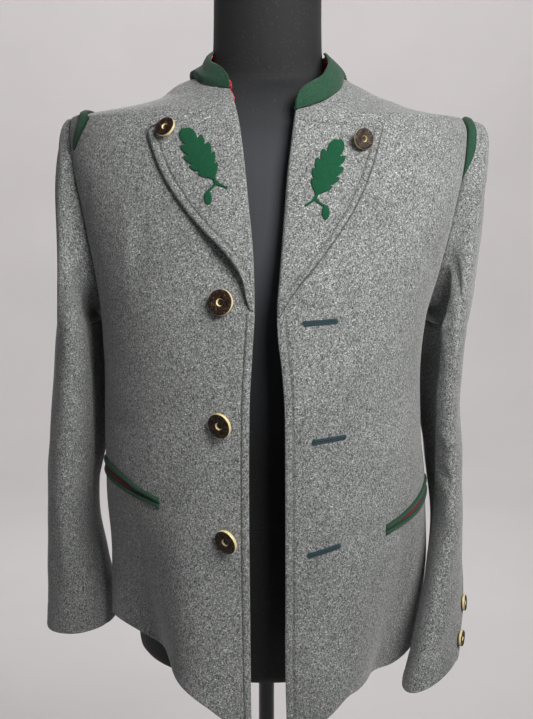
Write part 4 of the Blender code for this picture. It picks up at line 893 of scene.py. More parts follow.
def spread_columns(side, start, end, height, count):
    """Angles of one row: close together at the front edge, then even."""
    fine = np.linspace(start, end, 400)
    line = skin(side, fine, np.full(fine.shape, height), plain=True)
    run = run_along(line)
    near = EDGE_STEPS * min(1.0, 0.4 * run[-1] / EDGE_STEPS[-1])
    rest = np.linspace(near[-1], run[-1], count - len(near) + 1)[1:]
    return np.interp(np.concatenate([near, rest]), run, fine)


def lapel_roll_radius(side, height):
    """How thick the rolled edge is at a height: half the lapel, the front and the space between them."""
    foot, top = LAPEL_FOOT[side], LAPEL_TOP_INNER[side][1]
    return LAPEL_ROLL_RADIUS * ease((height - foot + 0.002) / 0.022) * (height < top)


fronts = {}
for name, side in SIDES.items():
    rows = panel_heights(below=70, armhole=64, above=34)
    start = front_inner_angle(side, rows)
    tucked = angle_at(side, smooth_read(FRONT_EDGE[side], 1, rows) + lapel_roll_radius(side, rows), rows)
    start = np.where(rows < COLLAR_END[side], tucked, start)
    end = 90 - armhole_angle("front", rows)
    start[-1] = min(start[-1], end[-1] - 12)
    angles = np.array([spread_columns(side, a, b, h, 84) for a, b, h in zip(start, end, rows)])
    heights = rows[:, None] + hem_shift(side, angles, rows[:, None])
    grid = skin(side, angles, heights)
    normal = skin_normal(side, angles, heights)
    below_lapel = ease((LAPEL_FOOT[side] + 0.004 - heights) / 0.012)
    relief = edge_line(along_rows(grid)) * below_lapel
    hem = along_columns(grid)
    relief += 0.0004 * ease(1 - hem / 0.03) + 0.0005 * bell(hem - 0.002, 0.004)
    side_seam = along_rows(grid, from_end=True)
    relief -= 0.0006 * bell(side_seam, SEAM_DIP)
    grid = grid + normal * relief[..., None]
    # Painted shade along the stitch groove and along the side seam.
    pressed = stitched(along_rows(grid)) * below_lapel + 0.5 * bell(side_seam, SEAM_LINE)
    made = shell(f"loden_front_{name}", grid, normal, CLOTH, [LODEN, LINING],
                 lining_from=(34, 14), pressed=pressed)
    declare(made, f"front_{name}", grid)
    fronts[side] = grid
    print(f"front {name}: {grid.shape[0]} rows, cut {cuts[made.name]}")

# %% The back
columns = np.linspace(-1, 1, 151)
rows = panel_heights(below=60, armhole=60, above=30)
reach = 90 - armhole_angle("back", rows)
turn = 180 - np.abs(columns)[None, :] * reach[:, None]
grid, normal = np.empty((*turn.shape, 3)), np.empty((*turn.shape, 3))
for side, half in ((RIGHT, columns <= 0), (LEFT, columns > 0)):
    heights = rows[:, None] + hem_shift(side, turn, rows[:, None])
    grid[:, half] = skin(side, turn, heights)[:, half]
    normal[:, half] = skin_normal(side, turn, heights)[:, half]
hem = along_columns(grid)
centre_seam = np.abs(columns)[None, :] * 0.2
relief = 0.0004 * ease(1 - hem / 0.03) - 0.0007 * bell(centre_seam, 0.0035)
relief = relief - 0.0006 * bell(np.minimum(along_rows(grid), along_rows(grid, True)), SEAM_DIP)
grid = grid + normal * relief[..., None]
seams = np.minimum(np.minimum(along_rows(grid), along_rows(grid, True)), centre_seam)
# Painted shade along the back's seams.
made = shell("loden_back", grid, normal, CLOTH, [LODEN, LINING], lining_from=(1, 14),
             pressed=0.5 * bell(seams, SEAM_LINE))
declare(made, "back", grid)
print("back cut", cuts[made.name])

# %% [markdown]
# ## The sleeves
# A sleeve is a tube of cloth with an oval head. The head starts on the armhole's own oval and turns
# down over the shoulder, then level rings hang to the cuff. Long seams run down its front and back,
# the elbow breaks into short creases, and a vent with two buttons closes the cuff at the back seam.

# %% Sleeve shape
SLEEVE_CREASES = {      # share round and height of both ends, half width in metres, push
    RIGHT: (
        (0.20, 1.375, 0.30, 1.250, 0.008, -0.0022), (0.12, 1.330, 0.24, 1.215, 0.010, -0.0026),
        (0.30, 1.330, 0.36, 1.180, 0.011, 0.0022), (0.14, 1.180, 0.34, 1.130, 0.010, -0.0020),
        (0.16, 1.140, 0.36, 1.105, 0.009, 0.0020), (0.12, 1.100, 0.30, 1.062, 0.010, -0.0024),
        (0.20, 1.050, 0.40, 1.030, 0.012, 0.0016), (0.30, 1.020, 0.34, 0.900, 0.012, -0.0018),
        (0.60, 1.240, 0.80, 1.180, 0.012, -0.0024), (0.62, 1.150, 0.84, 1.120, 0.010, 0.0020),
        (0.58, 1.100, 0.80, 1.080, 0.010, -0.0026), (0.64, 1.050, 0.86, 1.010, 0.012, 0.0018),
        (0.70, 0.980, 0.80, 0.900, 0.012, -0.0016), (0.42, 1.300, 0.47, 1.120, 0.014, 0.0014),
        (0.37, 1.420, 0.33, 1.150, 0.005, -0.0018),
    ),
    LEFT: (
        (0.14, 1.350, 0.24, 1.255, 0.008, -0.0026), (0.18, 1.300, 0.34, 1.210, 0.009, -0.0024),
        (0.10, 1.280, 0.22, 1.170, 0.009, 0.0020), (0.20, 1.190, 0.40, 1.150, 0.010, -0.0020),
        (0.14, 1.120, 0.38, 1.085, 0.010, 0.0022), (0.12, 1.075, 0.36, 1.050, 0.010, -0.0028),
        (0.18, 1.030, 0.42, 1.000, 0.010, 0.0020), (0.22, 0.985, 0.36, 0.900, 0.012, -0.0016),
        (0.58, 1.230, 0.82, 1.190, 0.012, -0.0026), (0.60, 1.140, 0.86, 1.110, 0.010, 0.0020),
        (0.56, 1.075, 0.82, 1.060, 0.010, -0.0024), (0.62, 1.020, 0.84, 0.980, 0.012, 0.0018),
        (0.68, 0.960, 0.78, 0.890, 0.012, -0.0014), (0.44, 1.320, 0.49, 1.100, 0.014, 0.0014),
    ),
}
SLEEVE_FOLD = {     # height, share of the ridge, depth: behind the front of the arm the cloth folds in
    RIGHT: (
        (1.000, 0.060, 0.0), (1.050, 0.075, 0.0030), (1.100, 0.095, 0.0062), (1.150, 0.108, 0.0072),
        (1.200, 0.118, 0.0072), (1.270, 0.140, 0.0060), (1.330, 0.165, 0.0040), (1.390, 0.185, 0.0),
    ),
    LEFT: (
        (0.970, 0.050, 0.0), (1.010, 0.065, 0.0035), (1.050, 0.090, 0.0080), (1.100, 0.125, 0.0100),
        (1.150, 0.150, 0.0110), (1.200, 0.145, 0.0115), (1.270, 0.162, 0.0120), (1.330, 0.190, 0.0095),
        (1.385, 0.218, 0.0055), (1.425, 0.230, 0.0),
    ),
}
SEAM_SHARES = {RIGHT: (0.10, 0.60), LEFT: (0.10, 0.52)}     # front seam, back seam with the vent
SLEEVE_GIRTH = 0.33     # metres of cloth round the arm
FIRST_EDGE_SHARE = 0.30         # where the sleeve's edge starts to climb the shoulder
EDGE_RISE = {RIGHT: 0.0016, LEFT: 0.0012}
EDGE_TUCK = 0.55        # degrees that the sleeve's edge tucks under the panel
EDGE_ROWS = np.array([0, 0.03, 0.07, 0.12, 0.19, 0.28, 0.39, 0.51, 0.63, 0.75, 0.87])


def armhole_place(share):
    """Angle and height of the armhole, share 0 under the arm, 0.5 at the shoulder tip, the front first."""
    turn = 2 * np.pi * np.asarray(share, float)
    height = (UNDERARM + SHOULDER_TIP) / 2 - (SHOULDER_TIP - UNDERARM) / 2 * np.cos(turn)
    bite = np.where(np.sin(turn) > 0, ARMHOLE_ANGLE["front"], -ARMHOLE_ANGLE["back"])
    return 90 - bite * np.abs(np.sin(turn)), height


def armhole_ring(side, share):
    return skin(side, *armhole_place(share), plain=True)


def way_up(share):
    """0 where the edge starts to climb the shoulder, 1 at its tip, the same in front and behind."""
    return (np.minimum(share, 1 - share) - FIRST_EDGE_SHARE) / (0.5 - FIRST_EDGE_SHARE)


def shoulder_line(table, share):
    """Angle and height of a line over the shoulder. The back half mirrors the front half."""
    share = np.asarray(share, float)
    angle, height = (smooth_read(table, k, way_up(share)) for k in (1, 2))
    return np.where(share > 0.5, 180 - angle, angle), height


def sleeve_edge_raise(side, share):
    """How far the sleeve's edge stands up on the shoulder, where the seam's layers fill it."""
    return EDGE_RISE[side] * ease(way_up(share) / 0.75)


def sleeve_edge(side, share):
    """Rows from the sewn edge of the sleeve to the armhole's oval. On the wearer's right shoulder the
    sewn edge lies well inside the oval; elsewhere the cloth only tucks under the panel."""
    ring_angle, ring_height = armhole_place(share)
    tucked = ring_angle + np.where(share < 0.5, -EDGE_TUCK, EDGE_TUCK)
    start_angle, start_height = tucked, ring_height
    if side == RIGHT:
        past = np.minimum(share, 1 - share) - FIRST_EDGE_SHARE
        angle, height = shoulder_line(SHOULDER_EDGE, share)
        blend = ease((past + 0.01) / 0.04)
        start_angle = (1 - blend) * tucked + blend * np.where(past > 0, angle, tucked)
        start_height = (1 - blend) * ring_height + blend * np.where(past > 0, height, ring_height)
    angle, height = (
        start + (ring - start) * EDGE_ROWS[:, None]
        for start, ring in ((start_angle, ring_angle), (start_height, ring_height))
    )
    return skin(side, angle, height, plain=True)


def sleeve_ring(side, share, height):
    centre_x, centre_y, half_width, half_depth, twist = (
        smooth_read(SLEEVE_RINGS[side][::-1], k, height) for k in range(1, 6)
    )
    turn = 2 * np.pi * np.asarray(share, float)
    across, along = -half_width * np.cos(turn), -half_depth * np.sin(turn)
    spin = np.radians(twist)
    x = across * np.cos(spin) + along * np.sin(spin)
    y = along * np.cos(spin) - across * np.sin(spin)
    return np.stack(np.broadcast_arrays(side * (centre_x + x), centre_y + y, height), axis=-1)


def sleeve_head(side, share, step):
    share = np.asarray(share, float)
    start = armhole_ring(side, share)
    target = sleeve_ring(side, share, SLEEVE_RINGS[side][0][0])

    def turned_down(start, target):
        fall = 1 - np.cos(step * np.pi / 2)
        out = (1 - (1 - fall) ** SLEEVE_HEAD_SQUARENESS) ** (1 / SLEEVE_HEAD_SQUARENESS)
        return start + (target - start) * [out, fall**0.6, fall]

    outermost = turned_down(armhole_ring(side, 0.5), sleeve_ring(side, 0.5, SLEEVE_RINGS[side][0][0]))
    wanted = smooth_read(SLEEVE_HEAD[side], 1, outermost[2])
    weight = (0.5 - 0.5 * np.cos(2 * np.pi * share)) ** 2 * min(1.0, step * 8)
    level = turned_down(start, target)
    fuller = HEAD_EASE * np.sin(np.pi * step) * (1 - weight)
    level[:, 0] += side * (weight * (wanted - abs(outermost[0])) + fuller)
    return level


def sleeve_point(side, share, height):
    ring = sleeve_ring(side, share, height)
    cuff, centre = SLEEVE_RINGS[side][-1][:2]
    outwards = (np.abs(ring[..., 0]) - centre) * CUFF_RISE[side]
    ring[..., 2] += outwards * ease((cuff + 0.08 - height) / 0.08)
    return ring


def sleeve_surface(side, around, head_rows, arm_rows):
    """The outer face from the armhole to the cuff, its normals, and each point's share round it."""
    share = np.arange(around) / around
    rows = list(sleeve_edge(side, share))
    rows += [sleeve_head(side, share, step) for step in np.linspace(0, 1, head_rows, endpoint=False)]
    rows += [sleeve_point(side, share, height)
             for height in np.linspace(SLEEVE_RINGS[side][0][0], SLEEVE_RINGS[side][-1][0], arm_rows)]
    grid = np.array(rows)
    middle = grid.mean(axis=1, keepdims=True)
    return grid, grid_normals(grid, grid - middle, tube=True), np.broadcast_to(share, grid.shape[:2])


def sleeve_relief(side, grid, share):
    """Creases, the inner fold, seams, the vent and the cuff, as a push along the normals."""
    height, around = grid[..., 2], share * SLEEVE_GIRTH
    own = [(a0 * SLEEVE_GIRTH, h0, a1 * SLEEVE_GIRTH, h1, half, depth)
           for a0, h0, a1, h1, half, depth in SLEEVE_CREASES[side]]
    below_head = ease((1.44 - height) / 0.08)
    push = below_head * crease_push(own, around, height)
    turn = 2 * np.pi * share
    ridge, deep = (smooth_read(SLEEVE_FOLD[side], k, height) for k in (1, 2))
    inwards = np.clip((ridge - np.where(share > 0.75, share - 1, share)) / (ridge + 0.012), 0, 1)
    push -= deep * np.sin(np.pi * inwards**0.72)
    waves = unevenness(np.cos(turn) * 0.06 + height, np.sin(turn) * 0.09, 31 + side, 0.10)
    push += below_head * 0.0012 * waves
    for seam in SEAM_SHARES[side]:
        push -= 0.0009 * bell((share - seam) * SLEEVE_GIRTH, SEAM_LINE) * below_head
    cuff = along_columns(grid, from_end=True)
    vent = (share - SEAM_SHARES[side][1]) * SLEEVE_GIRTH
    push += 0.0010 * (vent > 0) * np.exp(-np.maximum(vent, 0) / 0.012) * ease((0.098 - cuff) / 0.01)
    push += 0.0004 * bell(cuff - 0.003, 0.004) - 0.0004 * bell(cuff - 0.032, 0.0035)
    from_edge = along_columns(grid)
    from_oval = np.maximum(from_edge - from_edge[len(EDGE_ROWS)], 0)
    push += sleeve_edge_raise(side, share) * ease(from_edge / 0.004) * (1 - ease(from_oval / 0.032))
    push -= 0.0014 * bell(from_edge, 0.0016)
    return push + 0.0010 * np.sin(np.pi * np.clip(from_oval / 0.030, 0, 1)) * np.clip(-np.cos(turn), 0, 1)


sleeves = {}
for name, side in SIDES.items():
    grid, normal, share = sleeve_surface(side, around=132, head_rows=40, arm_rows=104)
    # Painted shade along the sleeve's sewn edge at the armhole seam.
    pressed = 0.85 * bell(along_columns(grid), 0.0026)
    grid = grid + normal * sleeve_relief(side, grid, share)[..., None]
    made = shell(f"loden_sleeve_{name}", grid, normal, CLOTH, [LODEN, LINING], tube=True,
                 lining_from=(0, 0), pressed=pressed)
    declare(made, f"sleeve_{name}", grid, tube=True)
    sleeves[side] = (grid, normal)
    print(f"sleeve {name}: cut {cuts[made.name]}")

# %% [markdown]
# ## The collar
# The stand collar is green felt outside and red felt inside. It stands on the neck seam, leans towards
# the neck and swells a little at its foot, and its right side has slumped into a fold. At the wearer's
# right end the red lining runs a hair further, so it shows as a thin line past the green.

# %% Collar and its lining
def neck_seam(side, count):
    behind = skin(side, np.linspace(180, front_inner_angle(side, NECK_SIDE), 60), NECK_SIDE, plain=True)
    heights = np.linspace(NECK_SIDE, COLLAR_END[side], 60)[1:]
    before = skin(side, front_inner_angle(side, heights), heights, plain=True)
    return resample(np.concatenate([behind, before]), count)


def collar_grid(side, count, rows, proud, lower):
    """One half of the collar from the centre back. Its front end is cut to a quarter circle."""
    seam = neck_seam(side, 400)
    share = 1 - (1 - np.linspace(0, 1, count)) ** 1.5
    seam = np.stack([np.interp(share, np.linspace(0, 1, 400), seam[:, k]) for k in range(3)], axis=1)
    along = unit(np.gradient(seam, axis=0))
    inwards = side * np.cross(along, [0, 0, 1])
    inwards[:, 2] = 0
    inwards = unit(inwards)
    for _ in range(6):
        inwards[1:-1] = unit(inwards[:-2] + 2 * inwards[1:-1] + inwards[2:])
    height, tilt = (
        np.interp(share, (0, 0.5, 1), [sizes[k] for k in ("back", "side", "front")])
        for sizes in (COLLAR_HEIGHT, COLLAR_LEAN)
    )
    height = height + 0.0055 * bell(share - 0.70, 0.20)
    tilt = tilt + 0.0045 * bell(share - 0.55, 0.22)
    run = run_along(seam)
    long, deep = COLLAR_END_ROUND[side]
    into = np.clip(1 - (run[-1] - run) / long, 0, 1)
    top = height - deep * (1 - np.sqrt(1 - into**2 * 0.998)) - lower
    forward = along * (proud * ease((share - 0.85) / 0.15))[:, None]
    level = (np.linspace(0, 1, rows)[:, None] * top / height)[:, :, None]
    swell = 0.0030 * np.sin(np.pi * np.clip(level, 0, 1) ** 0.7) * (1 - 0.5 * into[:, None])
    straight = tilt[:, None] * level**1.4 - swell
    slumped = smooth_read(COLLAR_SLUMP, 1, level)
    slump = (side == RIGHT) * bell(share - 0.56, 0.22)[:, None]
    lean = straight * (1 - slump) + slumped * slump
    up = np.array([0, 0, 1.0])
    foot = 0.0007 * (1 - ease(level / 0.12))
    return seam + forward + up * (height[:, None] * level - 0.0006) + inwards * (lean - foot)


def collar_edge_tab():
    """The lining runs on a little below the collar, behind the wearer's right front edge."""
    heights = np.linspace(1.4722, 1.4880, 26)[:, None]
    proud = 0.0011 + 0.0003 * np.sin(heights * 1900) - 0.0010 * ease((1.4745 - heights) / 0.0025)
    edge = smooth_read(FRONT_EDGE[RIGHT], 1, np.minimum(heights, 1.4838))
    from_middle = edge - proud * (1 - np.linspace(0, 1, 7)[None, :] * 3)
    angle = angle_at(RIGHT, from_middle, heights)
    out = skin_normal(RIGHT, angle, heights, plain=True)
    return skin(RIGHT, angle, heights, plain=True) - out * (CLOTH * 0.75), out


def whole_collar(proud, lower):
    """Both halves as one grid, with its normals."""
    right, left = (collar_grid(side, 110, 30, proud[side], lower) for side in (RIGHT, LEFT))
    grid = np.concatenate([right[:, ::-1], left[:, 1:]], axis=1)
    return grid, grid_normals(grid, (grid - axis) * [1, 1, 0])


axis = np.array([0.0, 0.015, 0.0])
grid, normal = whole_collar({RIGHT: 0.0, LEFT: 0.0}, 0.0)
# Painted shade along the collar's foot, where it meets the jacket.
made = shell("felt_collar", grid, normal, COLLAR_CLOTH, [TRIM_FELT],
             pressed=0.7 * bell(along_columns(grid), 0.0016))
declare(made, "collar", grid)
print("collar cut", cuts[made.name])

grid, normal = whole_collar(COLLAR_LINING_PROUD, 0.0022)
grid = grid - normal * (COLLAR_CLOTH + SEAM_GAP)
tab_grid, tab_out = collar_edge_tab()
tab = shell("felt_collar_lining_end", tab_grid, tab_out, COLLAR_LINING_CLOTH, [RED_FELT], arc=3)
made = shell("felt_collar_lining", grid, normal, COLLAR_LINING_CLOTH, [RED_FELT])
declare(made, "collar_lining", grid)
print("collar lining cut", cuts[made.name])

# %% [markdown]
# ## The lapels
# A lapel is the front's own edge, turned back. The shell starts inside the jacket, rolls round the front
# edge and lies out over the chest, so the roll is a real soft fold and the facing shows behind it. Near
# its foot it stands off the front, most on the wearer's right. A groove of stitches follows its edge.

# %% Lapels
def lapel_lift(side, from_middle, height):
    middle, level, reach, extra = LAPEL_ROLL[side]
    return LAPEL_LIFT + extra * bell(np.hypot(from_middle - middle, height - level), reach)


def on_lapel(side, from_middle, height, lift):
    return on_front(side, from_middle, height, lapel_lift(side, from_middle, height) + lift)


PEAK_ROUND = 0.0065
LAPEL_EDGE_SPRING = {RIGHT: 0.0003, LEFT: 0.0020}      # how far the turned edge stands up
LAPEL_ROWS, LAPEL_COLUMNS = 96, 46      # rows up the lapel, columns from its edge to the roll
UNDER_LIFT = -CLOTH - 0.0010            # where the cloth lies inside the jacket


def lapel_lines(side):
    """The lapel's outer edge and its roll line, foot first, as distances from the middle and heights."""
    share = 1 - (1 - np.linspace(0, 1, LAPEL_ROWS)) ** 1.25
    foot, top_height = LAPEL_FOOT[side], LAPEL_OUTER[side][-1][0]
    outer_heights = foot + (top_height - foot) * share
    outer_middle = smooth_read(LAPEL_OUTER[side], 1, outer_heights)
    near_peak = np.clip((outer_heights - (top_height - PEAK_ROUND)) / PEAK_ROUND, 0, 1)
    outer_middle = outer_middle - PEAK_ROUND * 0.8 * (1 - np.sqrt(1 - near_peak**2 * 0.999))
    roll_heights = foot + (LAPEL_TOP_INNER[side][1] - foot) * share
    roll_middle = smooth_read(FRONT_EDGE[side], 1, roll_heights) + 0.0002
    return np.stack([outer_middle, outer_heights], axis=1), np.stack([roll_middle, roll_heights], axis=1)


def lapel_sheet(side):
    """The lapel's cloth from its edge over the roll and into the jacket: flat places, and their lifts."""
    outer_line, roll_line = lapel_lines(side)
    width = np.linalg.norm(outer_line - roll_line, axis=1)
    radius = np.minimum(lapel_roll_radius(side, roll_line[:, 1]) + 0.0012, LAPEL_ROLL_RADIUS)
    radius = np.where(roll_line[:, 1] >= LAPEL_TOP_INNER[side][1] - 1e-6, LAPEL_ROLL_RADIUS, radius)
    bend = np.linspace(0, math.pi, 10)[1:]
    flat, lifts = [], []
    for k in range(LAPEL_ROWS):
        near = EDGE_STEPS * min(1.0, 0.55 * (width[k] - radius[k]) / EDGE_STEPS[-1])
        rest = np.linspace(near[-1], width[k] - radius[k], LAPEL_COLUMNS - len(near) + 1)[1:]
        away = np.concatenate([near, rest])[:, None]
        line = outer_line[k] + unit(roll_line[k] - outer_line[k]) * away
        lift = lapel_lift(side, line[:, 0], line[:, 1])
        lift = lift + LAPEL_EDGE_SPRING[side] * np.exp(-away[:, 0] / 0.006)
        taper = ease(k / 5)
        lift = lift * taper + (1 - taper) * 0.0016
        centre_lift, half_lift = (lift[-1] + UNDER_LIFT) / 2, (lift[-1] - UNDER_LIFT) / 2
        turned_in = roll_line[k, 0] + radius[k]
        across = np.concatenate([
            roll_line[k, 0] + radius[k] * (1 - np.sin(bend)), turned_in + np.linspace(0.004, 0.016, 4),
        ])
        flat.append(np.concatenate([line, np.stack([across, np.full(across.shape, line[-1, 1])], axis=1)]))
        lifts.append(np.concatenate([
            lift, centre_lift + half_lift * np.cos(bend), np.full(4, UNDER_LIFT),
        ]))
    return np.array(flat), np.array(lifts)


lapels = {}
for name, side in SIDES.items():
    flat, lifts = lapel_sheet(side)
    grid = on_front(side, flat[..., 0], flat[..., 1], lifts)
    outwards = skin_normal(side, angle_at(side, flat[..., 0], flat[..., 1]), flat[..., 1])
    seen = slice(0, 30)     # columns that lie on the chest
    normal = unit(np.cross(np.gradient(grid, axis=0), np.gradient(grid, axis=1)))
    normal *= np.sign(np.sum(normal[:, seen] * grid_normals(grid[:, seen], outwards[:, seen])))
    edge = np.minimum(along_rows(grid), along_columns(grid, from_end=True) + 0.0005)
    relief = edge_line(edge) * ease((grid[..., 2] - LAPEL_FOOT[side] - 0.006) / 0.02)
    relief[:, LAPEL_COLUMNS - 4:] = 0
    grid = grid + normal * relief[..., None]
    cloth = np.full(grid.shape[:2], LAPEL_CLOTH)
    cloth[:, LAPEL_COLUMNS - 2:] = LAPEL_ROLL_CLOTH
    # Painted shade: along the stitch groove, a dark line at the lapel's outer edge, and on its turned rim.
    pressed = np.maximum(stitched(edge) * 0.8, 0.85 * bell(edge, 0.0013))
    pressed[:, LAPEL_COLUMNS - 4:] = 0
    made = shell(f"loden_lapel_{name}", grid, normal, cloth, [LODEN], pressed=pressed, rim_painted_shade=0.9)
    declare(made, f"lapel_{name}", grid)
    lapels[side] = (grid, normal)
    print(f"lapel {name}: cut {cuts[made.name]}")

# %% [markdown]
# ## Leaves
# Oak leaves with a stalk and an acorn are the usual ornament of such a jacket. They are die-cut from
# thin pressed felt and sewn down. The outline is drawn once, and laid on each lapel with its own lean.

# %% Oak leaves
def rounded(points, steps):
    points = np.asarray(points, float)
    ends = np.concatenate([[2 * points[0] - points[1]], points, [2 * points[-1] - points[-2]]])
    t = np.linspace(0, 1, steps, endpoint=False)[:, None]
    line = [
        0.5 * (2 * b + (c - a) * t + (2 * a - 5 * b + 4 * c - d) * t**2 + (3 * b - a - 3 * c + d) * t**3)
        for a, b, c, d in zip(ends, ends[1:], ends[2:], ends[3:])
    ]
    return [tuple(p) for piece in line for p in piece] + [tuple(points[-1])]


def leaf_outline(steps):
    edge = rounded([(LEAF_LENGTH * across * 0.90, LEAF_LENGTH * up) for across, up in LEAF_EDGE], steps)
    right = [(across, up + 0.0006) for across, up in edge]
    left = [(-across * 0.96, up * 0.985) for across, up in reversed(edge[:-1])]
    stalk = rounded([(-0.0016, -0.0012), (-0.0030, -0.0065), (-0.0072, -0.0125)], steps)
    stalk += rounded([(-0.0056, -0.0142), (-0.0018, -0.0088), (0.0012, -0.0052)], steps)
    across, up, half_width, half_length, lean = ACORN
    acorn = [
        (across + half_width * math.cos(t) * math.cos(lean) + half_length * math.sin(t) * math.sin(lean),
         up + half_length * math.sin(t) * math.cos(lean) - half_width * math.cos(t) * math.sin(lean))
        for t in np.radians(range(125, 446, 16)).tolist()
    ]
    return right + left + stalk + [(0.0050, -0.0062)] + acorn + [(0.0066, -0.0044), (0.0018, -0.0024)]


def loop_area(loop):
    """The area inside a flat loop, above zero where it runs anticlockwise."""
    return np.sum(loop[:, 0] * np.roll(loop[:, 1], -1) - np.roll(loop[:, 0], -1) * loop[:, 1]) / 2


def filled_plate(name, outline, place, low, high, materials, inset=0.0005):
    """A flat shape on the cloth with a rounded upper edge. place puts flat points and lifts in space."""
    count = len(outline)
    tangent = unit(np.roll(outline, -1, axis=0) - np.roll(outline, 1, axis=0))
    inwards = np.stack([-tangent[:, 1], tangent[:, 0]], axis=1)
    inwards *= np.sign(loop_area(outline))
    loops = [(outline, low), (outline, high - inset), (outline + inwards * inset * 0.3, high - inset * 0.3),
             (outline + inwards * inset, high)]
    points = [place(loop[:, 0], loop[:, 1], np.full(count, lift)) for loop, lift in loops]
    work = bmesh.new()
    corners = [work.verts.new((*p, 0)) for p in loops[-1][0]]
    face = work.faces.new(corners)
    face.normal_update()
    tiles = bmesh.ops.triangulate(work, faces=[face])["faces"]
    work.verts.index_update()
    tops = [[v.index for v in tile.verts] for tile in tiles]
    work.free()
    faces = [[3 * count + i for i in tile] for tile in tops] + [tile[::-1] for tile in tops]
    for k in range(0, 3 * count, count):
        after = [(i + 1) % count for i in range(count)]
        faces += [[k + j, k + i, k + count + i, k + count + j] for i, j in enumerate(after)]
    return mesh_piece(name, np.concatenate(points), faces, materials)


def leaf_place(side):
    lean, base = math.radians(LEAF_LEAN[side]), LEAF_BASE[side]

    def place(across, up, lift):
        from_middle = base[0] + up * math.sin(lean) + across * math.cos(lean)
        height = base[1] + up * math.cos(lean) - across * math.sin(lean)
        return on_lapel(side, from_middle, height, lift)

    return place


outline = np.array(leaf_outline(4))
area = abs(loop_area(outline))
wide, long = (float(v) for v in np.ptp(outline, axis=0))
for name, side in SIDES.items():
    made = filled_plate(f"felt_leaf_{name}", outline, leaf_place(side),
                        SEAM_GAP * 0.5, SEAM_GAP + LEAF_CLOTH, [LEAF_FELT])
    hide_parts(f"leaf_{name}")
    cuts[made.name] = (round(wide, 3), round(long, 3), round(float(area), 5))
    print(f"leaf {name}: {len(outline)} points round, {area * 1e4:.1f} square cm")

# %% [markdown]
# ## Shoulder trims
# A wedge of green felt is caught in the armhole seam over each sleeve head. It bridges the panel and
# the sleeve, is widest at the shoulder tip and tapers to points at the front and back.

# %% Shoulder trims
def trim_on_panel(count, across):
    """Wearer's right: the trim lies on the panel, between its own edge and the sleeve's edge."""
    share = np.linspace(0.373, 0.627, count)[:, None]
    inboard, outboard = shoulder_line(TRIM_EDGE, share), shoulder_line(SHOULDER_EDGE, share)
    angle, height = (one + (two - one) * across for one, two in zip(inboard, outboard))
    points, outs = (read(RIGHT, angle, height, plain=True) for read in (skin, skin_normal))
    return points, outs, sleeve_edge_raise(RIGHT, share)


def trim_on_sleeve(count, across):
    """Wearer's left: the trim lies on the sleeve head, beside the armhole seam."""
    grid, normal = sleeves[LEFT]
    run = along_columns(grid)
    share = np.linspace(TRIM_WIDTH[0][0], TRIM_WIDTH[-1][0], count)
    column = share * grid.shape[1]
    points, outs = np.empty((count, across.size, 3)), np.empty((count, across.size, 3))
    for k, (c, width) in enumerate(zip(column, smooth_read(TRIM_WIDTH, 1, share))):
        low, part = int(c), c - int(c)
        line, out, length = (one[:, low] * (1 - part) + one[:, low + 1] * part for one in (grid, normal, run))
        at = 0.0004 + across[0] * width
        points[k] = np.stack([np.interp(at, length, line[:, i]) for i in range(3)], axis=1)
        outs[k] = np.stack([np.interp(at, length, out[:, i]) for i in range(3)], axis=1)
    return points, unit(outs), np.zeros((count, 1))


for name, side in SIDES.items():
    count = 101
    across = np.linspace(0, 1, 21)[None, :]
    under, out, rise = (trim_on_panel if side == RIGHT else trim_on_sleeve)(count, across)
    ends = np.sin(np.pi * np.linspace(0, 1, count))[:, None] ** 0.6
    puff = np.sin(np.pi * (0.06 + 0.84 * across)) ** 0.8
    if side == RIGHT:
        ridge = 1 - 0.55 * bell(np.linspace(-1, 1, count)[:, None], 0.30)
        lift = SEAM_GAP + TRIM_CLOTH + rise * ease(across * 1.3)
        lift = lift + 0.0017 * ends * ridge * puff - 0.0014 * (1 - ends)
    else:
        lift = TRIM_CLOTH - 0.0012 + 0.0024 * ends * puff
    grid = under + out * lift[..., None]
    # Painted shade: a dark line along the trim's inboard edge, a fainter one along its outboard edge, and on
    # its turned rim.
    edge_shade = 0.9 * bell(across * 0.010, 0.0014) + 0.35 * bell((1 - across) * 0.010, 0.0012)
    made = shell(f"felt_shoulder_trim_{name}", grid, out, TRIM_CLOTH, [TRIM_FELT],
                 pressed=edge_shade, rim_painted_shade=0.6)
    declare(made, f"shoulder_trim_{name}", grid)
    print(f"shoulder trim {name}: cut {cuts[made.name]}")

# %% [markdown]
# ## Pockets
# Each pocket is a slanting slit between two green felt lips, with the red pocket felt showing in it.
# The lips are two narrow folded strips, so each one is a rounded ridge.

# %% Pocket welts and their red slits
def pocket_point(side, along, above, lift):
    (inner_end, outer_end), (low, high) = POCKET_ANGLES[side], POCKET_HEIGHTS[side]
    along = np.asarray(along, float)
    angle = inner_end + (outer_end - inner_end) * along
    bow = POCKET_BOW[side] * np.sin(np.pi * along)
    return lifted(side, angle + 0 * above, low + (high - low) * along + bow + above, lift)


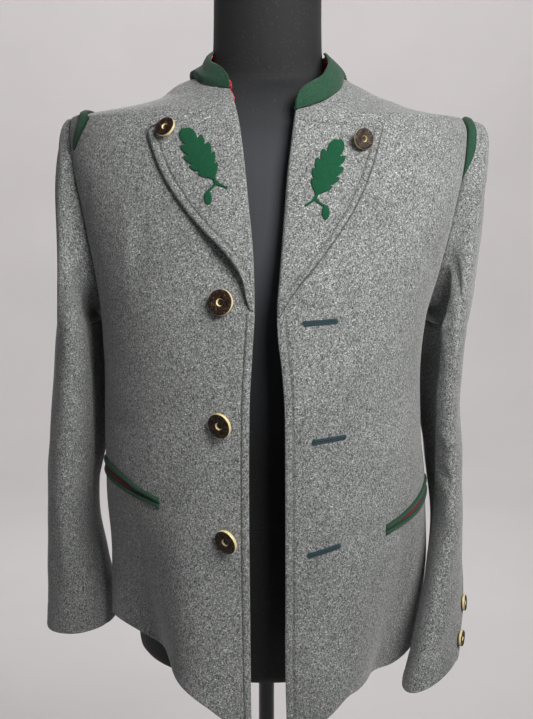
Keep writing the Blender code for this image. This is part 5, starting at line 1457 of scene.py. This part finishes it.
for name, side in SIDES.items():
    along = np.concatenate([[0, 0.012, 0.03], np.linspace(0.05, 0.95, 70), [0.97, 0.988, 1.0]])
    open_part = np.clip((along - 0.06) / 0.90, 0, 1)
    gape = 0.0005 + 0.0020 * np.sin(np.pi * open_part) ** 0.7
    halves = POCKET_HALF_HEIGHT * (0.68 + 0.54 * ease(along / 0.75))
    above = np.concatenate([np.linspace(halves, gape, 12), np.linspace(-gape, -halves, 12)]).T
    lip = (np.abs(above) - gape[:, None]) / (halves - gape)[:, None]
    ridge = SEAM_GAP + POCKET_CLOTH * (0.15 + 1.10 * np.sin(np.pi * np.clip(lip * 0.94 + 0.02, 0, 1)) ** 0.6)
    ends = ease(np.minimum(along, 1 - along) / 0.02)[:, None]
    ridge = ridge * (0.55 + 0.45 * ends)
    tapered = above * (0.97 + 0.03 * ends)
    grid = pocket_point(side, along[:, None], tapered, ridge)
    angle, height = (
        ends[side][0] + np.diff(ends[side])[0] * along[:, None] for ends in (POCKET_ANGLES, POCKET_HEIGHTS)
    )
    out = skin_normal(side, angle + 0 * above, height + above)
    # Painted shade where the lips meet at the slit, along their outer edges and on their turned rims.
    slit_shade = np.exp(-((np.abs(above) / (gape[:, None] + 0.0006)) ** 4)) + 0.35 * np.exp(-((1 - lip) * 12))
    made = shell(f"felt_pocket_welt_{name}", grid, out, 0.0013, [TRIM_FELT], arc=3,
                 pressed=slit_shade, rim_painted_shade=0.5)
    declare(made, f"pocket_welt_{name}", grid)
    steps = np.linspace(*POCKET_RED[side], 60)
    reach = np.maximum(np.interp(steps, along, gape) * ease((steps - steps[0]) / 0.25) - 0.0005, 0.0002)
    above = reach[:, None] * np.linspace(-1, 1, 7)
    lift = np.full(above.shape, SEAM_GAP + POCKET_CLOTH * 0.62)
    grid = pocket_point(side, steps[:, None], above, lift)
    out = grid_normals(grid, grid - axis)
    made = shell(f"felt_pocket_lining_{name}", grid, out, 0.0006, [POCKET_RED_PAINTED_SHADE], arc=2)
    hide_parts(f"pocket_lining_{name}")
    width, length, area = cut_of(grid)
    long = max(length, width)
    cuts[made.name] = (round(long, 3), POCKET_RED_CUT, round(area, 5))
    print(f"pocket {name}: welt cut {cuts['felt_pocket_welt_' + name]}, slit {cuts[made.name]}")

# %% [markdown]
# ## Stitches
# Stitches repeat along a path, which is what Geometry Nodes are for. One tree serves them all: it
# walks a path at an even spacing, sets a small thread capsule at each step, turned to the path and to
# the cloth, and makes each a little longer or shorter. Running stitches lie along the path, and
# buttonhole stitches lie across it.

# %% A node tree that sews
def sewing_tree():
    tree = bpy.data.node_groups.new("sew_along_path", "GeometryNodeTree")
    face = tree.interface
    face.new_socket("Geometry", in_out="INPUT", socket_type="NodeSocketGeometry")
    sizes = {"Spacing": 0.003, "Along": 0.001, "Across": 0.0003, "Height": 0.0003, "Uneven": 0.1}
    for label, default in sizes.items():
        face.new_socket(label, in_out="INPUT", socket_type="NodeSocketFloat").default_value = default
    face.new_socket("Seed", in_out="INPUT", socket_type="NodeSocketInt").default_value = 3
    face.new_socket("Thread", in_out="INPUT", socket_type="NodeSocketMaterial")
    face.new_socket("Geometry", in_out="OUTPUT", socket_type="NodeSocketGeometry")
    given = tree.nodes.new("NodeGroupInput").outputs
    curve = add(tree, "GeometryNodeMeshToCurve", {"Mesh": given["Geometry"]}).outputs[0]
    steps = add(tree, "GeometryNodeCurveToPoints", {
        "Curve": curve, "Length": given["Spacing"],
    }, mode="LENGTH")
    cloth = add(tree, "GeometryNodeInputNamedAttribute", {
        "Name": "cloth_normal",
    }, data_type="FLOAT_VECTOR").outputs[0]
    stand = add(tree, "FunctionNodeAlignRotationToVector", {"Vector": cloth}, axis="Z").outputs[0]
    turned = add(tree, "FunctionNodeAlignRotationToVector", {
        "Rotation": stand, "Vector": steps.outputs["Tangent"],
    }, axis="X", pivot_axis="Z").outputs[0]
    least, most = (
        add(tree, "ShaderNodeMath", {0: 1.0, 1: given["Uneven"]}, operation=operation).outputs[0]
        for operation in ("SUBTRACT", "ADD")
    )
    uneven = add(tree, "FunctionNodeRandomValue", {
        2: least, 3: most, "Seed": given["Seed"],
    }, data_type="FLOAT").outputs[1]
    size = add(tree, "ShaderNodeCombineXYZ", {
        "X": given["Along"], "Y": given["Across"], "Z": given["Height"],
    }).outputs[0]
    scale = add(tree, "ShaderNodeVectorMath", {0: size, "Scale": uneven}, operation="SCALE").outputs[0]
    capsule = add(tree, "GeometryNodeMeshUVSphere", {"Segments": 7, "Rings": 5, "Radius": 1.0}).outputs[0]
    sewn = add(tree, "GeometryNodeInstanceOnPoints", {
        "Points": steps.outputs["Points"], "Instance": capsule, "Rotation": turned, "Scale": scale,
    }).outputs[0]
    real = add(tree, "GeometryNodeRealizeInstances", {"Geometry": sewn}).outputs[0]
    smooth = add(tree, "GeometryNodeSetShadeSmooth", {"Geometry": real}).outputs[0]
    done = add(tree, "GeometryNodeSetMaterial", {"Geometry": smooth, "Material": given["Thread"]})
    add(tree, "NodeGroupOutput", {0: done.outputs[0]})
    return tree


STITCH_POINTS = 30      # points of one capsule: two poles and four rings of seven
SEWING = sewing_tree()
IDS = {item.name: item.identifier for item in SEWING.interface.items_tree if item.in_out == "INPUT"}


def sew(name, path, normals, thread, closed=False, **sizes):
    """Sews along a path of points in space. The result is a plain mesh with no modifier on it."""
    guide = bpy.data.meshes.new(name + "_path")
    count = len(path)
    edges = [(i, i + 1) for i in range(count - 1)] + ([(count - 1, 0)] if closed else [])
    guide.from_pydata([tuple(p) for p in np.asarray(path) - PLAN_MIDDLE], edges, [])
    spread = guide.attributes.new("cloth_normal", "FLOAT_VECTOR", "POINT")
    spread.data.foreach_set("vector", np.asarray(normals, float).ravel())
    holder = bpy.data.objects.new(name + "_guide", guide)
    scene.collection.objects.link(holder)
    nodes = holder.modifiers.new("sew", "NODES")
    nodes.node_group = SEWING
    nodes[IDS["Thread"]] = thread
    for label, value in sizes.items():
        nodes[IDS[label.capitalize()]] = value
    graph = bpy.context.evaluated_depsgraph_get()
    mesh = bpy.data.meshes.new_from_object(holder.evaluated_get(graph))
    mesh.name = name
    bpy.data.objects.remove(holder, do_unlink=True)
    return piece_of(name, mesh)


def stitch_counts(start):
    """How many stitches there are in each piece whose name starts that way."""
    sewn = (made for made in pieces if made.name.startswith(start))
    return {made.name: len(made.data.vertices) // STITCH_POINTS for made in sewn}


def line_at(grid, normal, distances, wanted, lift):
    """The line on a grid that keeps one distance from its first column, lifted off the cloth."""
    points, outs = (
        np.array([[np.interp(wanted, run, row[:, k]) for k in range(3)] for run, row in zip(distances, rows)])
        for rows in (grid, normal)
    )
    outs = unit(outs)
    return points + outs * lift, outs


# %% Edge stitching on the fronts, the lapels and the collar
STITCH_LIFT = 0.00005
EDGE_STITCH = {"spacing": 0.0034, "along": 0.0012, "across": 0.00030, "height": 0.00028, "uneven": 0.12}
for name, side in SIDES.items():
    grid = fronts[side]
    path, outs = line_at(grid, grid_normals(grid, grid - axis), along_rows(grid), STITCH_LINE, STITCH_LIFT)
    keep = path[:, 2] < LAPEL_FOOT[side] - 0.004
    sew(f"edge_stitches_front_{name}", path[keep][1:], outs[keep][1:], GREY_THREAD, **EDGE_STITCH, seed=11)
    grid, normal = lapels[side]
    edge, from_top = along_rows(grid), along_columns(grid, from_end=True)
    path, outs = line_at(grid, normal, edge, STITCH_LINE, STITCH_LIFT)
    # The line turns the corner at the peak and runs on under the upper edge.
    past_corner = STITCH_LINE + 0.0003
    keep = np.array([np.interp(STITCH_LINE, run, below) > past_corner for run, below in zip(edge, from_top)])
    keep &= path[:, 2] > LAPEL_FOOT[side] + 0.010
    upper = [c for c in range(LAPEL_COLUMNS - 5) if edge[-1, c] > past_corner]
    across = (np.swapaxes(each, 0, 1)[upper][:, ::-1] for each in (grid, normal, from_top))
    top_path, top_outs = line_at(*across, STITCH_LINE, STITCH_LIFT)
    path, outs = np.concatenate([path[keep], top_path]), np.concatenate([outs[keep], top_outs])
    sew(f"edge_stitches_lapel_{name}", path, outs, GREY_THREAD, **EDGE_STITCH, seed=12)
print("edge stitches:", stitch_counts("edge_stitches"))

# %% [markdown]
# ## Buttonholes
# A keyhole buttonhole is a slit with a round eye at the end next to the front edge, worked over with
# silk: short stitches side by side right across its lips, and a raised purl round the slit.

# %% Buttonholes
def hole_place(number, along, above, lift):
    place, tilt = HOLE_PLACES[number], math.radians(HOLE_SLOPES[number])
    from_middle = place[0] + along * math.cos(tilt) + above * math.sin(tilt)
    height = place[1] + above * math.cos(tilt) - along * math.sin(tilt)
    outs = skin_normal(LEFT, angle_at(LEFT, from_middle, height), height)
    return on_front(LEFT, from_middle, height, lift), outs


def keyhole(half, reach, eye):
    """A loop round the slit at a distance: straight lips and a round eye at its first end."""
    lip = np.linspace(-half + eye * 1.2, half, 30)
    top = [(x, reach) for x in lip]
    bar = [(half + reach * 0.8, y) for y in np.linspace(reach, -reach, 5)[1:-1]]
    bottom = [(x, -reach) for x in lip[::-1]]
    start = math.asin(min(1.0, reach / (reach + eye * 0.5)))
    around = [(-half + eye * 0.9 + (reach + eye * 0.5) * math.cos(t), (reach + eye * 0.5) * math.sin(t))
              for t in np.linspace(-start, -2 * math.pi + start, 14)[1:-1]]
    around = [p for p in around if p[0] < lip[0]]
    return np.array(top + bar + bottom + around)


half = HOLE_LENGTH / 2 - 0.0012
for number in range(3):
    loop = keyhole(half, 0.0017, 0.0016)
    place, outs = hole_place(number, loop[:, 0], loop[:, 1], np.full(len(loop), 0.0005))
    made = sew(f"silk_buttonhole_{number + 1}", place, outs, TEAL_THREAD, closed=True,
               spacing=0.00062, along=0.00036, across=0.00125, height=0.00055, uneven=0.10, seed=21 + number)
    inner = keyhole(half, 0.0006, 0.0012)
    place, outs = hole_place(number, inner[:, 0], inner[:, 1], np.full(len(inner), 0.0009))
    purl = sew(f"silk_purl_{number + 1}", place, outs, TEAL_THREAD, closed=True,
               spacing=0.00085, along=0.00055, across=0.00040, height=0.00040, uneven=0.10, seed=31 + number)
    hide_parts(f"buttonhole_{number + 1}")
    # The slit itself is a dark strip between the lips, lower than the stitches.
    dark = filled_plate(
        f"buttonhole_slit_{number + 1}", keyhole(half - 0.0004, 0.0005, 0.0011),
        lambda a, b, lift, n=number: hole_place(n, a, b, lift)[0], 0.0001, 0.0005, [JERSEY], inset=0.0001,
    )
print("buttonhole stitches:", stitch_counts("silk_buttonhole"))

# %% [markdown]
# ## Buttons
# Each button is a turned slice of antler. Its outline isn't quite round, its bark face is grooved, and
# a narrow ivory ring runs round its sunken dark middle. The front buttons hang turned to the wearer's
# right on their shanks, so their ivory sides show.

# %% Stag horn buttons
BUTTON_THICKNESS = 0.36     # in button radii
HORN_SLICE = (      # radius in button radii, height in thicknesses, finish of the band that ends here
    (0.60, 0, 1), (0.93, 0.02, 1), (0.985, 0.10, 1), (1, 0.26, 1), (1, 0.56, 1), (0.985, 0.84, 1),
    (0.962, 0.93, 0), (0.92, 0.98, 0), (0.84, 1, 0), (0.73, 0.995, 0), (0.62, 0.98, 0), (0.52, 0.95, 0),
    (0.343, 0.91, 0), (0.308, 0.86, 0), (0.285, 0.76, 1), (0.261, 0.58, 1), (0.242, 0.46, 1),
    (0.218, 0.43, 0), (0.15, 0.42, 0), (0, 0.42, 0),
)       # finish 0 is bark and 1 is ivory


def horn_button(name, seat, normal, radius, seed, stand, shank, steps=64):
    """A slice of antler: an ivory side and foot, a bark face, and an ivory ring round its sunken middle."""
    pick = np.random.default_rng(seed)
    thick = radius * BUTTON_THICKNESS
    profile = [(0.0, 0.0, 1), (shank * 0.90, 0.0, 1), (shank * 0.80, stand * 0.5, 1),
               (shank * 0.90, stand * 0.97, 1)]
    profile += [(radius * share, stand + thick * level, finish) for share, level, finish in HORN_SLICE]
    waves = [(k, pick.uniform(0.2, 1.0) / k, pick.uniform(0, 6.28)) for k in range(2, 7)]
    turn = np.linspace(0, 2 * np.pi, steps, endpoint=False)
    outline = 1 + 0.018 * sum(size * np.sin(k * turn + shift) for k, size, shift in waves)
    rough = pick.normal(0, 1, (len(profile), steps))
    rough = (rough + np.roll(rough, 1, axis=1) + np.roll(rough, -1, axis=1)) / 3
    points, rings = [], []
    for row, (r, z, _) in enumerate(profile):
        if r == 0:
            rings.append([len(points)])
            points.append((0, 0, z))
            continue
        rings.append(list(range(len(points), len(points) + steps)))
        share = r / radius
        bark = 0.42 < share < 0.95 and z > stand + thick * 0.75
        lift = rough[row] * radius * 0.020 if bark else 0 * turn
        spread = r * (1 + (outline - 1) * share) + (rough[row] * radius * 0.006 if share > 0.9 else 0)
        points += [(a * math.cos(t), a * math.sin(t), z + dz) for a, t, dz in zip(spread, turn, lift)]
    which = [finish for _, _, finish in profile[1:] for _ in range(steps)]
    place = Matrix.Translation(Vector(seat)) @ Vector(normal).to_track_quat("Z", "Y").to_matrix().to_4x4()
    placed = [tuple(place @ Vector(p)) for p in points]
    made = mesh_piece(f"horn_{name}", placed, ring_faces(rings, steps), [BARK, CORE], which)
    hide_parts(name)
    return made


for number, (from_middle, height, turn, nod, stand) in enumerate(FRONT_BUTTONS, 1):
    angle = angle_at(RIGHT, from_middle, height)
    flat = skin_normal(RIGHT, angle, height, plain=True)
    askew = Matrix.Rotation(math.radians(-turn), 3, "Z") @ Matrix.Rotation(math.radians(nod), 3, "X")
    normal = askew @ Vector(flat)
    shank = BUTTON_RADIUS * 0.15
    seat = skin(RIGHT, angle, height) + flat * (SEAM_GAP + shank * math.sin(normal.angle(Vector(flat))))
    horn_button(f"front_button_{number}", seat, np.array(normal), BUTTON_RADIUS, number, stand, shank)
for name, side in SIDES.items():
    from_middle, height = LAPEL_BUTTONS[side]
    normal = skin_normal(side, angle_at(side, from_middle, height), height)
    turn, nod = LAPEL_BUTTON_TURN[side]
    askew = Matrix.Rotation(math.radians(turn), 3, "Z") @ Matrix.Rotation(math.radians(nod), 3, "X")
    hung = askew @ Vector(normal)
    dip = math.sin(hung.angle(Vector(normal)))
    lift = SEAM_GAP + LAPEL_BUTTON_RADIUS * 0.2 * dip
    seat = on_lapel(side, np.array(from_middle), np.array(height), np.array(lift))
    horn_button(f"lapel_button_{name}", seat, np.array(hung), LAPEL_BUTTON_RADIUS, 10 + side,
                LAPEL_BUTTON_RADIUS * (0.16 + 0.85 * dip), LAPEL_BUTTON_RADIUS * 0.20)
    share, heights = CUFF_BUTTONS[side]
    for number, height in enumerate(heights, 1):
        near = 0.004
        across = sleeve_point(side, share + near, height) - sleeve_point(side, share - near, height)
        down = sleeve_point(side, share, height - near) - sleeve_point(side, share, height + near)
        normal = unit(side * np.cross(down, across))
        seat = sleeve_point(side, share, height) + normal * (CUFF_BUTTON_LIFT[side] + SEAM_GAP)
        horn_button(f"cuff_button_{name}_{number}", seat, normal, CUFF_BUTTON_RADIUS, 20 + number + side,
                    CUFF_BUTTON_RADIUS * 0.16, CUFF_BUTTON_RADIUS * 0.30, steps=40)
print("buttons:", sum(made.name.startswith("horn_") for made in pieces))

# %% [markdown]
# ## The dress form and its stand
# The form is a padded torso under black jersey, cut flat at the neck and at the hips. It carries the
# jacket, so under the cloth its mesh keeps 0.8 mm inside its solid. Cap, pole, boss and base are turned
# steel.

# %% Dress form
def smooth_form():
    around, levels = 120, 150
    heights = np.linspace(FORM_RINGS[0][0], FORM_RINGS[-1][0], levels)
    angles = np.linspace(0, 360, around, endpoint=False)
    turn = np.where(angles > 180, 360 - angles, angles)
    rings = np.empty((levels, around, 3))
    for side, pick in ((RIGHT, angles > 180), (LEFT, angles <= 180)):
        rings[:, pick] = ring_point(FORM_RINGS, side, turn[None, pick], heights[:, None])[0]
    centre = rings.mean(axis=1, keepdims=True)
    out = unit((rings - centre) * [1, 1, 0])
    covered = ease((NECK_SIDE - heights) / 0.03)[:, None, None]
    rings = rings - out * (0.0008 * covered)
    low_edge = np.exp(-((heights - heights[0]) / 0.006))[:, None, None]
    rings = rings - out * 0.004 * low_edge**2
    foot, *_, top = rings
    points = [foot.mean(axis=0), *rings.reshape(-1, 3), top.mean(axis=0)]
    rows = [range(1 + row * around, 1 + (row + 1) * around) for row in range(levels)]
    faces = ring_faces([[0], *rows, [len(points) - 1]], around)
    made = mesh_piece("jersey_form_torso", points, faces, [JERSEY])
    made.data.set_sharp_from_angle(angle=math.radians(50))
    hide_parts("form_torso")


smooth_form()

# %% Stand
def turned(name, node, profile, place, steps=96):
    """A piece turned on a lathe, from the radii and heights of its profile."""
    points, rings = [], []
    for radius, height in profile:
        if radius == 0:
            rings.append([len(points)])
            points.append((place[0], place[1], place[2] + height))
            continue
        rings.append(list(range(len(points), len(points) + steps)))
        points += [(place[0] + radius * math.cos(t), place[1] + radius * math.sin(t), place[2] + height)
                   for t in np.linspace(0, 2 * math.pi, steps, endpoint=False)]
    made = mesh_piece(name, points, ring_faces(rings, steps), [STEEL])
    made.data.set_sharp_from_angle(angle=math.radians(35))
    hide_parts(node)


def eased_corner(a, corner, b, size, steps=4):
    """Rounds one corner of a profile."""
    a, corner, b = (np.array(p, float) for p in (a, corner, b))
    start, end = corner + unit(a - corner) * size, corner + unit(b - corner) * size
    return [tuple((1 - t) ** 2 * start + 2 * t * (1 - t) * corner + t * t * end)
            for t in np.linspace(0, 1, steps)]


turned("steel_neck_cap", "neck_cap", (
    (0, 0), *eased_corner((0, 0), (0.047, 0), (0.050, 0.0025), 0.001), (0.0495, 0.0020),
    *eased_corner((0.050, 0.0025), (0.050, 0.0075), (0.044, 0.0115), 0.002),
    (0.044, 0.0115), (0.034, 0.0131), (0.024, 0.0140), (0.012, 0.0146), (0, 0.0148),
), (0, FORM_RINGS[-1][5], FORM_RINGS[-1][0] + FORM_GAP))
pole_foot = BOSS_HEIGHT + FORM_GAP
pole_length = FORM_RINGS[0][0] - FORM_GAP - pole_foot
turned("steel_stand_pole", "stand_pole", (
    (0, 0), *[(POLE_RADIUS, pole_length * k / 8) for k in range(9)], (0, pole_length),
), (0, POLE_Y, pole_foot), 64)
bevel = (BASE_RADIUS - 0.006, BASE_HEIGHT)
turned("steel_stand_base", "stand_base", (
    (0, 0), (BASE_RADIUS - 0.003, 0), (BASE_RADIUS - 0.0008, 0.0010), (BASE_RADIUS, 0.003),
    *eased_corner((BASE_RADIUS, 0.003), (BASE_RADIUS, BASE_HEIGHT * 0.62), bevel, 0.0025, 6),
    *eased_corner((BASE_RADIUS, BASE_HEIGHT * 0.6), bevel, (0, BASE_HEIGHT), 0.003, 6),
    (BASE_RADIUS * 0.6, BASE_HEIGHT), (BASE_RADIUS * 0.3, BASE_HEIGHT), (0, BASE_HEIGHT),
), (0, POLE_Y, 0), 128)
boss_foot = BASE_HEIGHT + FORM_GAP
boss_length = BOSS_HEIGHT - boss_foot
taper, rim = (BOSS_RADIUS * 0.92, boss_length * 0.80), (BOSS_RADIUS * 0.76, boss_length)
turned("steel_stand_boss", "stand_boss", (
    (0, 0), *eased_corner((0, 0), (BOSS_RADIUS, 0), (BOSS_RADIUS, 0.004), 0.0012), (BOSS_RADIUS, 0.0040),
    *eased_corner((BOSS_RADIUS, 0.004), taper, rim, 0.004, 6),
    *eased_corner(taper, rim, (0, boss_length), 0.0015),
    (POLE_RADIUS, boss_length), (0, boss_length),
), (0, POLE_Y, boss_foot), 96)

# %% Sizes and the last line
triangles = {made.name: sum(len(face.vertices) - 2 for face in made.data.polygons) for made in pieces}
print("pieces:", len(pieces), "triangles:", sum(triangles.values()))
print("most triangles:", max(triangles, key=triangles.get), max(triangles.values()))
